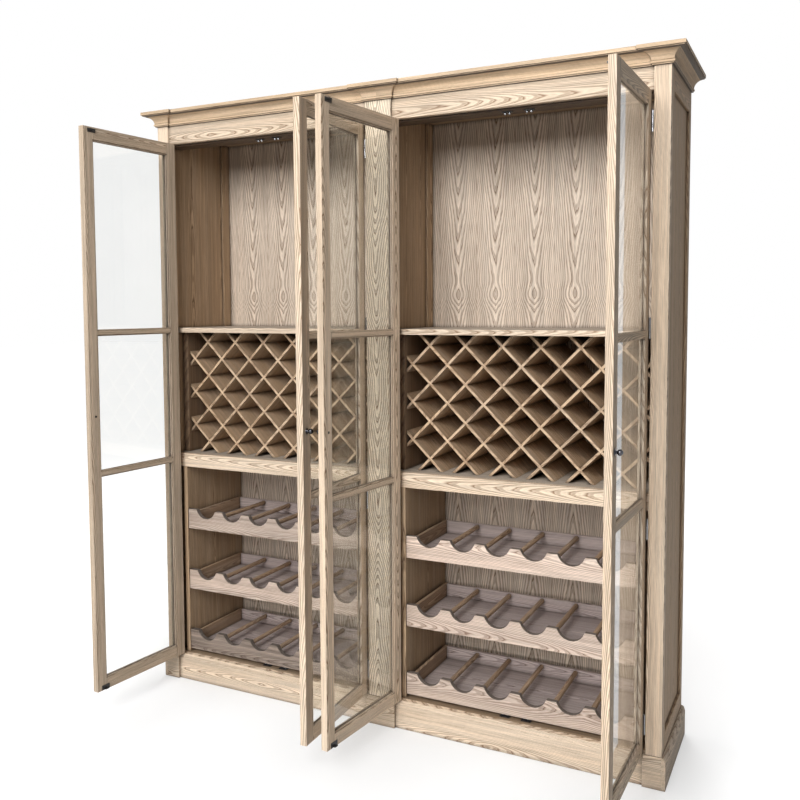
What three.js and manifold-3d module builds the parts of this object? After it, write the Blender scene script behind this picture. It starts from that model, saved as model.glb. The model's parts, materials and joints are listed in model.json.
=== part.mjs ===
// Wine cabinet with two bays, four glazed doors, two lattice racks and six pull-out bottle trays.
// Millimetres. X runs to the right, Y to the back and Z up. X is zero in the middle of the cabinet,
// Y is zero at the front faces of the pilasters and Z is zero on the floor.
// The doors are modelled standing open and the trays pushed in.

import * as THREE from "three";
import { mergeVertices, toCreasedNormals } from "three/addons/utils/BufferGeometryUtils.js";
import Module from "manifold-3d";

const wasm = await Module();
wasm.setup();

// Overall sizes
const HEIGHT = 2400;
const CARCASS_WIDTH = 2070;
const DEPTH = 430;
const SIDE_PILASTER = 53;
const CENTRE_PILASTER = 106;
const DOOR_RECESS = 9;
const DOOR_THICKNESS = 24;
const DOOR_STOP_GAP = 1;

// Plinth
const PLINTH_HEIGHT = 108;
const PLINTH_OUT_FRONT = 8;
const PLINTH_OUT_SIDE = 14;
const PLINTH_BOARD = 28;
const PLINTH_MOULD_HEIGHT = 17;
const PLINTH_QUIRK = 1.6;
const PLINTH_TOP_SHARE = 0.2;
const OVOLO_STEPS = 5;

// Cornice
const CORNICE_HEIGHT = 57;
const CORNICE_OUT = 48;
const CORNICE_FOOT_OUT = 7;
const CORNICE_FOOT_HEIGHT = 3;
const CORNICE_BEAD_RADIUS = 4.5;
const CORNICE_QUIRK = 1.5;
const CORNICE_FILLET = 12;
const CORNICE_STEP_OUT = 4;
const CORNICE_STEP_HEIGHT = 3;
const CORNICE_RAIL = 60;
const COVE_STEPS = 8;
const BEAD_STEPS = 5;

// Carcass boards
const FRIEZE_HEIGHT = 73;
const SIDE_FRAME_THICKNESS = 22;
const SIDE_FRONT_STILE = 30;
const SIDE_REAR_STILE = 42;
const SIDE_TOP_RAIL = 73;
const SIDE_BOTTOM_RAIL = 60;
const SIDE_PANEL_SUNK = 9;
const SIDE_PANEL_THICKNESS = 7;
const PANEL_TONGUE = 8;
const PANEL_PLAY = 0.4;
const LINING_THICKNESS = 16;
const PARTITION_THICKNESS = 50;
const DECK_THICKNESS = 18;
const TOP_THICKNESS = 18;
const BACK_THICKNESS = 10;
const SHELF_THICKNESS = 20;
const MID_SHELF_TOP = 1507;
const LOWER_SHELF_TOP = 972;
const LOWER_SHELF_THICKNESS = 18;
const LOWER_RAIL_HEIGHT = 56.5;
const LOWER_RAIL_THICKNESS = 22;
const STOP_RAIL_DEPTH = 70;
const STOP_RAIL_THICKNESS = 20;
const STOP_RAIL_DROP = 8;
const CORNER_BATTEN_WIDTH = 50;
const CORNER_BATTEN_DEPTH = 10;

// Lattice rack
const LATTICE_PITCH = 142.2;
const LATTICE_COLUMNS = 6;
const LATTICE_ROWS = 4;
const LATTICE_TOP_DROP = 41.7;
const LATTICE_FRONT = 101;
const LATTICE_BACK_GAP = 19;
const LATTICE_FIT = 0.3;
const SLAT_THICKNESS = 9.5;
const CHEEK_FRONT = 87;
const INNER_CHEEK_THICKNESS = 40.5;
const OUTER_CHEEK_THICKNESS = 27.5;

// Doors
const DOOR_BOTTOM_GAP = 3;
const DOOR_TOP_GAP = 3;
const DOOR_HINGE_GAP = 2.5;
const DOOR_MEETING_GAP = 3;
const DOOR_STILE = 48;
const DOOR_TOP_RAIL = 50;
const DOOR_BOTTOM_RAIL = 48;
const MUNTIN_HEIGHT = 25;
const LOWER_MUNTIN_DROP = 16;
const GLASS_THICKNESS = 4;
const GLASS_PLAY = 0.3;
const GLASS_REBATE = 8;
const BEAD_REBATE_WIDTH = 5;
const BEAD_REBATE_DEPTH = 4;
const KNOB_HEIGHT = 1179;
const KNOB_FROM_EDGE = 25;
const KNOB_LENGTH = 24;
const KNOB_RADIUS = 9.5;
const KNOB_STEM_RADIUS = 4.5;
const KNOB_ROSE_RADIUS = 8;
const KNOB_ROSE_THICKNESS = 2.5;
const KNOB_FIT = 0.3;
const KNOB_STEPS = 9;
const KNOB_SEGMENTS = 24;

// Angles at which the doors stand open, in degrees
const LEFT_OUTER_OPEN_DEGREES = 95.3;
const LEFT_INNER_OPEN_DEGREES = 91.6;
const RIGHT_INNER_OPEN_DEGREES = 96.5;
const RIGHT_OUTER_OPEN_DEGREES = 88.7;

// Hinges
const HINGE_COUNT = 4;
const HINGE_FROM_END = 95;
const HINGE_AXIS_FROM_PILASTER = 4;
const HINGE_AXIS_BEFORE_DOOR = 4;
const BARREL_RADIUS = 3.5;
const BARREL_LENGTH = 66;
const BARREL_SEGMENTS = 14;
const KNUCKLE_COUNT = 3;
const KNUCKLE_GAP = 0.5;
const LEAF_THICKNESS = 2.4;

// Trays and their slides
const TRAY_BOTTOMS = [122, 385, 648];
const TRAY_HEIGHT = 83;
const TRAY_FRONT_THICKNESS = 20;
const TRAY_FRONT_SETBACK = 40;
const TRAY_BACK_GAP = 34;
const TRAY_SIDE = 13;
const TRAY_SIDE_DROP = 13;
const TRAY_BASE_RAISE = 12;
const TRAY_BASE_THICKNESS = 8;
const TRAY_FRONT_GAP = 1.5;
const SCALLOP_COUNT = 6;
const SCALLOP_END = 24.1;
const SCALLOP_LAND = 38.3;
const SCALLOP_DEPTH_SHARE = 0.375;
const SCALLOP_CREST_RADIUS = 4;
const SCALLOP_STEPS = 12;
const CREST_STEPS = 3;
const DOWEL_RADIUS = 9;
const DOWEL_DROP = 25;
const DOWEL_SEGMENTS = 16;
const RUNNER_INBOARD = 36;
const RUNNER_THICKNESS = 18;
const RUNNER_FRONT = 37;
const RUNNER_BATTEN_DEPTH = 45;
const RUNNER_BATTEN_INSET = 20;
const SLIDE_SPACE = 12.5;
const SLIDE_CENTRE = 31;
const CHANNEL_HEIGHT = 45;
const CHANNEL_DEPTH = 10.5;
const CHANNEL_WEB = 2;
const CHANNEL_FLANGE = 2.5;
const CHANNEL_CLEAR = 2;
const CHANNEL_BACK_GAP = 6;
const MEMBER_THICKNESS = 5.3;
const MEMBER_CLEAR = 0.5;
const MEMBER_BACK_GAP = 2;
const DAMPER_LENGTH = 130;
const DAMPER_THICKNESS = 4.5;
const DAMPER_HEIGHT = 38;

// One length by which cutting solids run past the faces they cut
const OVERRUN = 5;
const CREASE_ANGLE = 0.6;

// Levels and faces that several pieces share
const CARCASS_HALF = CARCASS_WIDTH / 2;
const BAY_INNER = CENTRE_PILASTER / 2;
const BAY_OUTER = CARCASS_HALF - SIDE_PILASTER;
const BAY_CENTRE = (BAY_INNER + BAY_OUTER) / 2;
const CARCASS_FRONT = DOOR_RECESS + DOOR_THICKNESS + DOOR_STOP_GAP;
const CARCASS_TOP = HEIGHT - CORNICE_HEIGHT;
const FRIEZE_BOTTOM = CARCASS_TOP - FRIEZE_HEIGHT;
const CEILING = CARCASS_TOP - TOP_THICKNESS;
const BACK_FACE = DEPTH - BACK_THICKNESS;
const SIDE_INNER = CARCASS_HALF - SIDE_FRAME_THICKNESS;
const LINING_FACE = SIDE_INNER - LINING_THICKNESS;
const PARTITION_FACE = PARTITION_THICKNESS / 2;
const MID_SHELF_BOTTOM = MID_SHELF_TOP - SHELF_THICKNESS;
const LOWER_SHELF_BOTTOM = LOWER_SHELF_TOP - LOWER_SHELF_THICKNESS;
const LOWER_RAIL_BOTTOM = LOWER_SHELF_TOP - LOWER_RAIL_HEIGHT;
const UPPER_MUNTIN = MID_SHELF_TOP - SHELF_THICKNESS / 2;
const LOWER_MUNTIN = LOWER_SHELF_TOP - LOWER_MUNTIN_DROP;
const RUNNER_INNER_FACE = BAY_INNER + RUNNER_INBOARD;
const RUNNER_OUTER_FACE = BAY_OUTER - RUNNER_INBOARD;
const RUNNER_HALF_SPAN = (RUNNER_OUTER_FACE - RUNNER_INNER_FACE) / 2;
const TRAY_FRONT_HALF = RUNNER_HALF_SPAN - TRAY_FRONT_GAP;
const SCALLOP_PITCH = (2 * (TRAY_FRONT_HALF - SCALLOP_END)) / SCALLOP_COUNT;
const SCALLOP_WIDTH = SCALLOP_PITCH - SCALLOP_LAND;
const SCALLOP_DEPTH = SCALLOP_WIDTH * SCALLOP_DEPTH_SHARE;
const TRAY_BACK_OF_FRONT = TRAY_FRONT_SETBACK + TRAY_FRONT_THICKNESS;
const TRAY_REAR = BACK_FACE - TRAY_BACK_GAP;

const OAK = 0xc9b193;
const OAK_SHADE = 0x9b8268;
const OAK_DARK = 0x7d664e;
const OAK_GREY = 0xa79a8b;
const BACK_VENEER = 0xb8a890;
const SLAT_OAK = 0x9c8264;
const TRAY_OAK = 0xc0a88e;
const TRAY_BOX_OAK = 0x8c7c72;
const CLEAR_GLASS = 0xdfe9e6;
const CHROME = 0xc8cacc;

const woodFinish = (color) => new THREE.MeshStandardMaterial({ color, roughness: 0.72, metalness: 0 });
const chromeFinish = () => new THREE.MeshStandardMaterial({ color: CHROME, roughness: 0.15, metalness: 1 });
const glassFinish = () => new THREE.MeshStandardMaterial({
  color: CLEAR_GLASS,
  roughness: 0.03,
  metalness: 0,
  transparent: true,
  opacity: 0.25,
});

// Turns a closed geometry into a solid that can be joined and cut
function solid(geometry) {
  const bare = geometry.clone();
  bare.deleteAttribute("normal");
  bare.deleteAttribute("uv");
  const welded = mergeVertices(bare);
  const vertProperties = Float32Array.from(welded.attributes.position.array);
  const triVerts = Uint32Array.from(welded.index.array);
  return new wasm.Manifold(new wasm.Mesh({ numProp: 3, vertProperties, triVerts }));
}

// A board between two corners, given in any order along each axis
function board(xs, ys, zs) {
  const low = new THREE.Vector3(Math.min(...xs), Math.min(...ys), Math.min(...zs));
  const high = new THREE.Vector3(Math.max(...xs), Math.max(...ys), Math.max(...zs));
  const size = high.clone().sub(low);
  const middle = low.clone().add(high).multiplyScalar(0.5);
  const geometry = new THREE.BoxGeometry(size.x, size.y, size.z);
  geometry.translate(middle.x, middle.y, middle.z);
  return solid(geometry);
}

// A prism whose outline lies in X and Z and which runs from one Y to another
function prismAlongY(outline, front, back) {
  const geometry = new THREE.ExtrudeGeometry(outline, { depth: back - front, bevelEnabled: false });
  geometry.rotateX(Math.PI / 2);
  geometry.translate(0, back, 0);
  return solid(geometry);
}

// A prism whose outline lies in Y and Z and which runs from one X to another
function prismAlongX(outline, left, right) {
  const geometry = new THREE.ExtrudeGeometry(outline, { depth: right - left, bevelEnabled: false });
  const turn = new THREE.Matrix4().makeBasis(
    new THREE.Vector3(0, 1, 0),
    new THREE.Vector3(0, 0, 1),
    new THREE.Vector3(1, 0, 0),
  );
  geometry.applyMatrix4(turn);
  geometry.translate(left, 0, 0);
  return solid(geometry);
}

function cylinderAlongY(radius, x, z, front, back, segments) {
  const geometry = new THREE.CylinderGeometry(radius, radius, back - front, segments);
  geometry.translate(x, (front + back) / 2, z);
  return solid(geometry);
}

function cylinderAlongZ(radius, x, y, low, high, segments) {
  const geometry = new THREE.CylinderGeometry(radius, radius, high - low, segments);
  geometry.rotateX(Math.PI / 2);
  geometry.translate(x, y, (low + high) / 2);
  return solid(geometry);
}

const joined = (pieces) => pieces.reduce((whole, piece) => whole.add(piece));
const cutBy = (whole, cutters) => cutters.reduce((rest, cutter) => rest.subtract(cutter), whole);

// A closed skin over a stack of level rings that all have the same number of corners
function loft(rings) {
  const corners = rings[0].length;
  const positions = rings.flat().flatMap((p) => [p.x, p.y, p.z]);
  const indices = [];
  for (let ring = 0; ring + 1 < rings.length; ring += 1) {
    for (let corner = 0; corner < corners; corner += 1) {
      const next = (corner + 1) % corners;
      const a = ring * corners + corner;
      const b = ring * corners + next;
      const c = a + corners;
      const d = b + corners;
      indices.push(a, b, d, a, d, c);
    }
  }
  const flat = rings[0].map((p) => new THREE.Vector2(p.x, p.y));
  const top = (rings.length - 1) * corners;
  for (const [a, b, c] of THREE.ShapeUtils.triangulateShape(flat, [])) {
    indices.push(a, c, b);
    indices.push(top + a, top + b, top + c);
  }
  const geometry = new THREE.BufferGeometry();
  geometry.setAttribute("position", new THREE.Float32BufferAttribute(positions, 3));
  geometry.setIndex(indices);
  return solid(geometry);
}

// The outline of the cabinet seen from above, stepped forward at the pilasters and grown outwards
function planRing(frontOut, sideOut, z) {
  const side = CARCASS_HALF + sideOut;
  const proud = -frontOut;
  const recessed = DOOR_RECESS - frontOut;
  const outer = BAY_OUTER - frontOut;
  const inner = BAY_INNER + frontOut;
  const rightHalf = [
    [inner, proud],
    [inner, recessed],
    [outer, recessed],
    [outer, proud],
    [side, proud],
    [side, DEPTH],
  ];
  const leftHalf = rightHalf.map(([x, y]) => [-x, y]).reverse();
  return [...leftHalf, ...rightHalf].map(([x, y]) => new THREE.Vector3(x, y, z));
}

// Plinth boards: a quirk and an ovolo along the top edge
const plinthRings = [0, PLINTH_HEIGHT - PLINTH_MOULD_HEIGHT].map((z) => (
  planRing(PLINTH_OUT_FRONT, PLINTH_OUT_SIDE, z)
));
for (let step = 0; step <= OVOLO_STEPS; step += 1) {
  const angle = (step / OVOLO_STEPS) * (Math.PI / 2);
  const share = PLINTH_TOP_SHARE + (1 - PLINTH_TOP_SHARE) * Math.cos(angle);
  const z = PLINTH_HEIGHT - (PLINTH_MOULD_HEIGHT - PLINTH_QUIRK) * (1 - Math.sin(angle));
  const front = PLINTH_OUT_FRONT * share - PLINTH_QUIRK * Math.cos(angle);
  const side = PLINTH_OUT_SIDE * share - PLINTH_QUIRK * Math.cos(angle);
  plinthRings.push(planRing(front, side, z));
}
const plinthBlock = loft(plinthRings);
const plinthZone = [-OVERRUN, PLINTH_HEIGHT + OVERRUN];
const plinthDepths = [-PLINTH_OUT_FRONT - OVERRUN, DEPTH + OVERRUN];
const sideReach = CARCASS_HALF + PLINTH_OUT_SIDE + OVERRUN;
const plinthFront = plinthBlock.intersect(
  board([-CARCASS_HALF, CARCASS_HALF], [-PLINTH_OUT_FRONT - OVERRUN, PLINTH_BOARD], plinthZone),
);
const plinthSide = (hand) => plinthBlock.intersect(
  board([hand * CARCASS_HALF, hand * sideReach], plinthDepths, plinthZone),
);

// Cornice: foot fillet, bead, quirk, cove, step and top fillet, mitred round every corner
function corniceProfile() {
  const points = [];
  points.push([CORNICE_FOOT_OUT, CARCASS_TOP]);
  const beadBottom = CARCASS_TOP + CORNICE_FOOT_HEIGHT;
  points.push([CORNICE_FOOT_OUT, beadBottom]);
  for (let step = 1; step < BEAD_STEPS; step += 1) {
    const angle = (step / BEAD_STEPS) * Math.PI;
    const out = CORNICE_FOOT_OUT + CORNICE_BEAD_RADIUS * Math.sin(angle);
    points.push([out, beadBottom + CORNICE_BEAD_RADIUS * (1 - Math.cos(angle))]);
  }
  const beadTop = beadBottom + 2 * CORNICE_BEAD_RADIUS;
  points.push([CORNICE_FOOT_OUT, beadTop]);
  const coveFoot = CORNICE_FOOT_OUT + CORNICE_QUIRK;
  points.push([coveFoot, beadTop]);
  const stepBottom = HEIGHT - CORNICE_FILLET - CORNICE_STEP_HEIGHT;
  const coveRun = CORNICE_OUT - CORNICE_STEP_OUT - CORNICE_QUIRK - coveFoot;
  const coveRise = stepBottom - beadTop;
  for (let step = 1; step <= COVE_STEPS; step += 1) {
    const angle = (step / COVE_STEPS) * (Math.PI / 2);
    points.push([coveFoot + coveRun * (1 - Math.cos(angle)), beadTop + coveRise * Math.sin(angle)]);
  }
  points.push([CORNICE_OUT - CORNICE_STEP_OUT, stepBottom]);
  points.push([CORNICE_OUT - CORNICE_STEP_OUT, HEIGHT - CORNICE_FILLET]);
  points.push([CORNICE_OUT, HEIGHT - CORNICE_FILLET]);
  points.push([CORNICE_OUT, HEIGHT]);
  return points;
}
const corniceBlock = loft(corniceProfile().map(([out, z]) => planRing(out, out, z)));
const cornice = corniceBlock.subtract(board(
  [-CARCASS_HALF + CORNICE_RAIL, CARCASS_HALF - CORNICE_RAIL],
  [CORNICE_RAIL, DEPTH - CORNICE_RAIL],
  [CARCASS_TOP - OVERRUN, HEIGHT + OVERRUN],
));

// Outer side: a frame with a sunk panel held in a groove all round
const panelHole = {
  ys: [CARCASS_FRONT + SIDE_FRONT_STILE, DEPTH - SIDE_REAR_STILE],
  zs: [PLINTH_HEIGHT + SIDE_BOTTOM_RAIL, CARCASS_TOP - SIDE_TOP_RAIL],
};
const grown = ([low, high], by) => [low - by, high + by];

function sideFrame(hand) {
  const frame = board([hand * SIDE_INNER, hand * CARCASS_HALF], [CARCASS_FRONT, DEPTH], [0, CARCASS_TOP]);
  const through = board(
    [hand * (SIDE_INNER - OVERRUN), hand * (CARCASS_HALF + OVERRUN)],
    panelHole.ys,
    panelHole.zs,
  );
  const panelFace = CARCASS_HALF - SIDE_PANEL_SUNK;
  const groove = board(
    [hand * (panelFace - SIDE_PANEL_THICKNESS - PANEL_PLAY), hand * (panelFace + PANEL_PLAY)],
    grown(panelHole.ys, PANEL_TONGUE + PANEL_PLAY),
    grown(panelHole.zs, PANEL_TONGUE + PANEL_PLAY),
  );
  return cutBy(frame, [through, groove]);
}

function sidePanel(hand) {
  const panelFace = CARCASS_HALF - SIDE_PANEL_SUNK;
  return board(
    [hand * (panelFace - SIDE_PANEL_THICKNESS), hand * panelFace],
    grown(panelHole.ys, PANEL_TONGUE),
    grown(panelHole.zs, PANEL_TONGUE),
  );
}

// Walls of the bays, with the upright battens in the rear corners of the display spaces
const wallYs = [CARCASS_FRONT, BACK_FACE];
const wallZs = [PLINTH_HEIGHT, CEILING];
const battenYs = [BACK_FACE - CORNER_BATTEN_WIDTH, BACK_FACE];
const displayZs = [MID_SHELF_TOP, CEILING];

function sideLining(hand) {
  const wall = board([hand * LINING_FACE, hand * SIDE_INNER], wallYs, wallZs);
  const battenFace = LINING_FACE - CORNER_BATTEN_DEPTH;
  const batten = board([hand * battenFace, hand * SIDE_INNER], battenYs, displayZs);
  return wall.add(batten);
}

function centrePartition() {
  const reach = PARTITION_FACE + CORNER_BATTEN_DEPTH;
  const wall = board([-PARTITION_FACE, PARTITION_FACE], wallYs, wallZs);
  return wall.add(board([-reach, reach], battenYs, displayZs));
}

// Door sizes and the heights of the hinges
const DOOR_BOTTOM = PLINTH_HEIGHT + DOOR_BOTTOM_GAP;
const DOOR_TOP = FRIEZE_BOTTOM - DOOR_TOP_GAP;
const DOOR_WIDTH = (BAY_OUTER - BAY_INNER - DOOR_MEETING_GAP) / 2 - DOOR_HINGE_GAP;
const DOOR_INNER_FACE = DOOR_RECESS + DOOR_THICKNESS;
const HINGE_Y = DOOR_RECESS - HINGE_AXIS_BEFORE_DOOR;
const hingeHeights = Array.from({ length: HINGE_COUNT }, (_, index) => {
  const lowest = DOOR_BOTTOM + HINGE_FROM_END;
  const highest = DOOR_TOP - HINGE_FROM_END;
  return lowest + (highest - lowest) * (index / (HINGE_COUNT - 1));
});

// The stretches of one barrel that belong to the pilaster or, with the other parity, to the door
function knuckleSpans(height, parity) {
  const length = BARREL_LENGTH / KNUCKLE_COUNT;
  const bottom = height - BARREL_LENGTH / 2;
  const spans = [];
  for (let knuckle = parity; knuckle < KNUCKLE_COUNT; knuckle += 2) {
    const low = bottom + knuckle * length;
    spans.push([low + KNUCKLE_GAP / 2, low + length - KNUCKLE_GAP / 2]);
  }
  return spans;
}

// Knuckles on a pilaster's side face, each on a short strip of the hinge's fixed leaf
function pilasterKnuckles(face, toDoor) {
  const axisX = face + toDoor * HINGE_AXIS_FROM_PILASTER;
  const leafYs = [HINGE_Y - LEAF_THICKNESS / 2, HINGE_Y + LEAF_THICKNESS / 2];
  return hingeHeights.flatMap((height) => knuckleSpans(height, 0).flatMap(([low, high]) => [
    cylinderAlongZ(BARREL_RADIUS, axisX, HINGE_Y, low, high, BARREL_SEGMENTS),
    board([axisX, face - toDoor * OVERRUN], leafYs, [low, high]),
  ]));
}

function pilaster(left, right, faces) {
  const post = board([left, right], [0, CARCASS_FRONT], [PLINTH_HEIGHT, CARCASS_TOP]);
  return joined([post, ...faces.flatMap(([face, toDoor]) => pilasterKnuckles(face, toDoor))]);
}

// A lattice of slats at 45 degrees, halved where they cross and cut off at the shelves and cheeks
function lattice(centre, ends) {
  const low = LOWER_SHELF_TOP;
  const high = MID_SHELF_BOTTOM;
  const back = BACK_FACE - LATTICE_BACK_GAP;
  const topCrossing = high - LATTICE_TOP_DROP;
  const [left, right] = [Math.min(...ends), Math.max(...ends)];
  const slatLength = 2 * (right - left + high - low);
  const slats = [];
  for (let index = -LATTICE_COLUMNS; index < LATTICE_ROWS - 1; index += 1) {
    const along = (index + 0.5) * LATTICE_PITCH;
    for (const lean of [1, -1]) {
      const geometry = new THREE.BoxGeometry(slatLength, back - LATTICE_FRONT, SLAT_THICKNESS);
      geometry.rotateY(lean * (Math.PI / 4));
      geometry.translate(centre + lean * along, (LATTICE_FRONT + back) / 2, topCrossing);
      slats.push(solid(geometry));
    }
  }
  const room = board(
    [left + LATTICE_FIT, right - LATTICE_FIT],
    [LATTICE_FRONT - OVERRUN, back + OVERRUN],
    [low, high - LATTICE_FIT],
  );
  return joined(slats).intersect(room);
}

// One door, built closed. edge is the pilaster's side face and toFree points at the door's free edge
function doorSolids(edge, toFree) {
  const at = (distance) => edge + toFree * (DOOR_HINGE_GAP + distance);
  const ys = [DOOR_RECESS, DOOR_INNER_FACE];
  const glassYs = [
    (DOOR_RECESS + DOOR_INNER_FACE - GLASS_THICKNESS) / 2,
    (DOOR_RECESS + DOOR_INNER_FACE + GLASS_THICKNESS) / 2,
  ];
  const lightXs = [DOOR_STILE, DOOR_WIDTH - DOOR_STILE];
  const rails = [LOWER_MUNTIN, UPPER_MUNTIN];
  const bottoms = [DOOR_BOTTOM + DOOR_BOTTOM_RAIL, ...rails.map((z) => z + MUNTIN_HEIGHT / 2)];
  const tops = [...rails.map((z) => z - MUNTIN_HEIGHT / 2), DOOR_TOP - DOOR_TOP_RAIL];
  const cutters = bottoms.flatMap((bottom, index) => {
    const lightZs = [bottom, tops[index]];
    const through = board(lightXs.map(at), grown(ys, OVERRUN), lightZs);
    const rebate = board(
      grown(lightXs, BEAD_REBATE_WIDTH).map(at),
      [DOOR_INNER_FACE - BEAD_REBATE_DEPTH, DOOR_INNER_FACE + OVERRUN],
      grown(lightZs, BEAD_REBATE_WIDTH),
    );
    return [through, rebate];
  });
  const glassZs = [bottoms[0], tops[tops.length - 1]];
  const slot = board(
    grown(lightXs, GLASS_REBATE + GLASS_PLAY).map(at),
    grown(glassYs, GLASS_PLAY),
    grown(glassZs, GLASS_REBATE + GLASS_PLAY),
  );
  const blank = board([at(0), at(DOOR_WIDTH)], ys, [DOOR_BOTTOM, DOOR_TOP]);
  const axisX = edge + toFree * HINGE_AXIS_FROM_PILASTER;
  const leafXs = [axisX - LEAF_THICKNESS / 2, axisX + LEAF_THICKNESS / 2];
  const knuckles = hingeHeights.flatMap((height) => knuckleSpans(height, 1).flatMap(([low, high]) => [
    cylinderAlongZ(BARREL_RADIUS, axisX, HINGE_Y, low, high, BARREL_SEGMENTS),
    board(leafXs, [HINGE_Y, DOOR_RECESS + OVERRUN], [low, high]),
  ]));
  const frame = joined([cutBy(blank, [...cutters, slot]), ...knuckles]);
  const glass = board(grown(lightXs, GLASS_REBATE).map(at), glassYs, grown(glassZs, GLASS_REBATE));
  return { frame, glass, knob: knobSolid(at(DOOR_WIDTH - KNOB_FROM_EDGE)) };
}

// A turned knob with a rose, a stem and a ball, its axis across the door
function knobSolid(x) {
  const ballCentre = KNOB_LENGTH - KNOB_RADIUS;
  const ballStart = Math.asin(KNOB_STEM_RADIUS / KNOB_RADIUS);
  const outline = [
    new THREE.Vector2(0, 0),
    new THREE.Vector2(KNOB_ROSE_RADIUS, 0),
    new THREE.Vector2(KNOB_ROSE_RADIUS, KNOB_ROSE_THICKNESS / 2),
    new THREE.Vector2(KNOB_STEM_RADIUS, KNOB_ROSE_THICKNESS),
  ];
  for (let step = 0; step < KNOB_STEPS; step += 1) {
    const angle = ballStart + (Math.PI - ballStart) * (step / KNOB_STEPS);
    const ballRadius = KNOB_RADIUS * Math.sin(angle);
    outline.push(new THREE.Vector2(ballRadius, ballCentre - KNOB_RADIUS * Math.cos(angle)));
  }
  outline.push(new THREE.Vector2(0, KNOB_LENGTH));
  const geometry = new THREE.LatheGeometry(outline, KNOB_SEGMENTS);
  geometry.rotateX(Math.PI);
  geometry.translate(x, DOOR_RECESS - KNOB_FIT, KNOB_HEIGHT);
  return solid(geometry);
}

// The scalloped front board of a tray, about the middle of its lower edge
function trayFrontOutline() {
  const half = TRAY_FRONT_HALF;
  const top = TRAY_HEIGHT;
  const scallopHalf = SCALLOP_WIDTH / 2;
  const radius = (scallopHalf ** 2 + SCALLOP_DEPTH ** 2) / (2 * SCALLOP_DEPTH);
  const crest = SCALLOP_CREST_RADIUS;
  const arcCentreZ = top - SCALLOP_DEPTH + radius;
  // The crest round touches the top edge and the scallop's arc from outside it
  const roundZ = top - crest;
  const roundX = Math.sqrt((radius + crest) ** 2 - (arcCentreZ - roundZ) ** 2);
  const touch = Math.atan2(arcCentreZ - roundZ, roundX);
  const shape = new THREE.Shape();
  shape.moveTo(-half, 0);
  shape.lineTo(half, 0);
  shape.lineTo(half, top);
  for (let index = SCALLOP_COUNT - 1; index >= 0; index -= 1) {
    const middle = (index - (SCALLOP_COUNT - 1) / 2) * SCALLOP_PITCH;
    for (let step = 0; step <= CREST_STEPS; step += 1) {
      const angle = Math.PI / 2 + (Math.PI / 2 - touch) * (step / CREST_STEPS);
      shape.lineTo(middle + roundX + crest * Math.cos(angle), roundZ + crest * Math.sin(angle));
    }
    for (let step = 1; step < SCALLOP_STEPS; step += 1) {
      const angle = -touch - (Math.PI - 2 * touch) * (step / SCALLOP_STEPS);
      shape.lineTo(middle + radius * Math.cos(angle), arcCentreZ + radius * Math.sin(angle));
    }
    for (let step = 0; step <= CREST_STEPS; step += 1) {
      const angle = touch + (Math.PI / 2 - touch) * (step / CREST_STEPS);
      shape.lineTo(middle - roundX + crest * Math.cos(angle), roundZ + crest * Math.sin(angle));
    }
  }
  shape.lineTo(-half, top);
  shape.closePath();
  return shape;
}

// The box behind a tray's front board, with its dowels and the moving members of its two slides
function trayBox() {
  const half = RUNNER_HALF_SPAN - SLIDE_SPACE;
  const inside = half - TRAY_SIDE;
  const ys = [TRAY_BACK_OF_FRONT, TRAY_REAR];
  const roomYs = [TRAY_BACK_OF_FRONT - OVERRUN, TRAY_REAR - TRAY_SIDE];
  const sideTop = TRAY_HEIGHT - TRAY_SIDE_DROP;
  const block = board([-half, half], ys, [0, sideTop]);
  const room = board([-inside, inside], roomYs, [TRAY_BASE_RAISE + TRAY_BASE_THICKNESS, sideTop + OVERRUN]);
  const underside = board([-inside, inside], roomYs, [-OVERRUN, TRAY_BASE_RAISE]);
  const pieces = [cutBy(block, [room, underside])];
  const dowelYs = [TRAY_BACK_OF_FRONT, TRAY_REAR - TRAY_SIDE + OVERRUN];
  for (let index = 1; index < SCALLOP_COUNT; index += 1) {
    const x = (index - SCALLOP_COUNT / 2) * SCALLOP_PITCH;
    pieces.push(cylinderAlongY(DOWEL_RADIUS, x, TRAY_HEIGHT - DOWEL_DROP, ...dowelYs, DOWEL_SEGMENTS));
  }
  const memberHalf = CHANNEL_HEIGHT / 2 - CHANNEL_FLANGE - MEMBER_CLEAR;
  const memberFront = TRAY_BACK_OF_FRONT + CHANNEL_CLEAR;
  for (const hand of [1, -1]) {
    pieces.push(board(
      [hand * (half - OVERRUN), hand * (half + MEMBER_THICKNESS)],
      [memberFront, TRAY_REAR - MEMBER_BACK_GAP],
      [SLIDE_CENTRE - memberHalf, SLIDE_CENTRE + memberHalf],
    ));
  }
  return joined(pieces);
}

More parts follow.
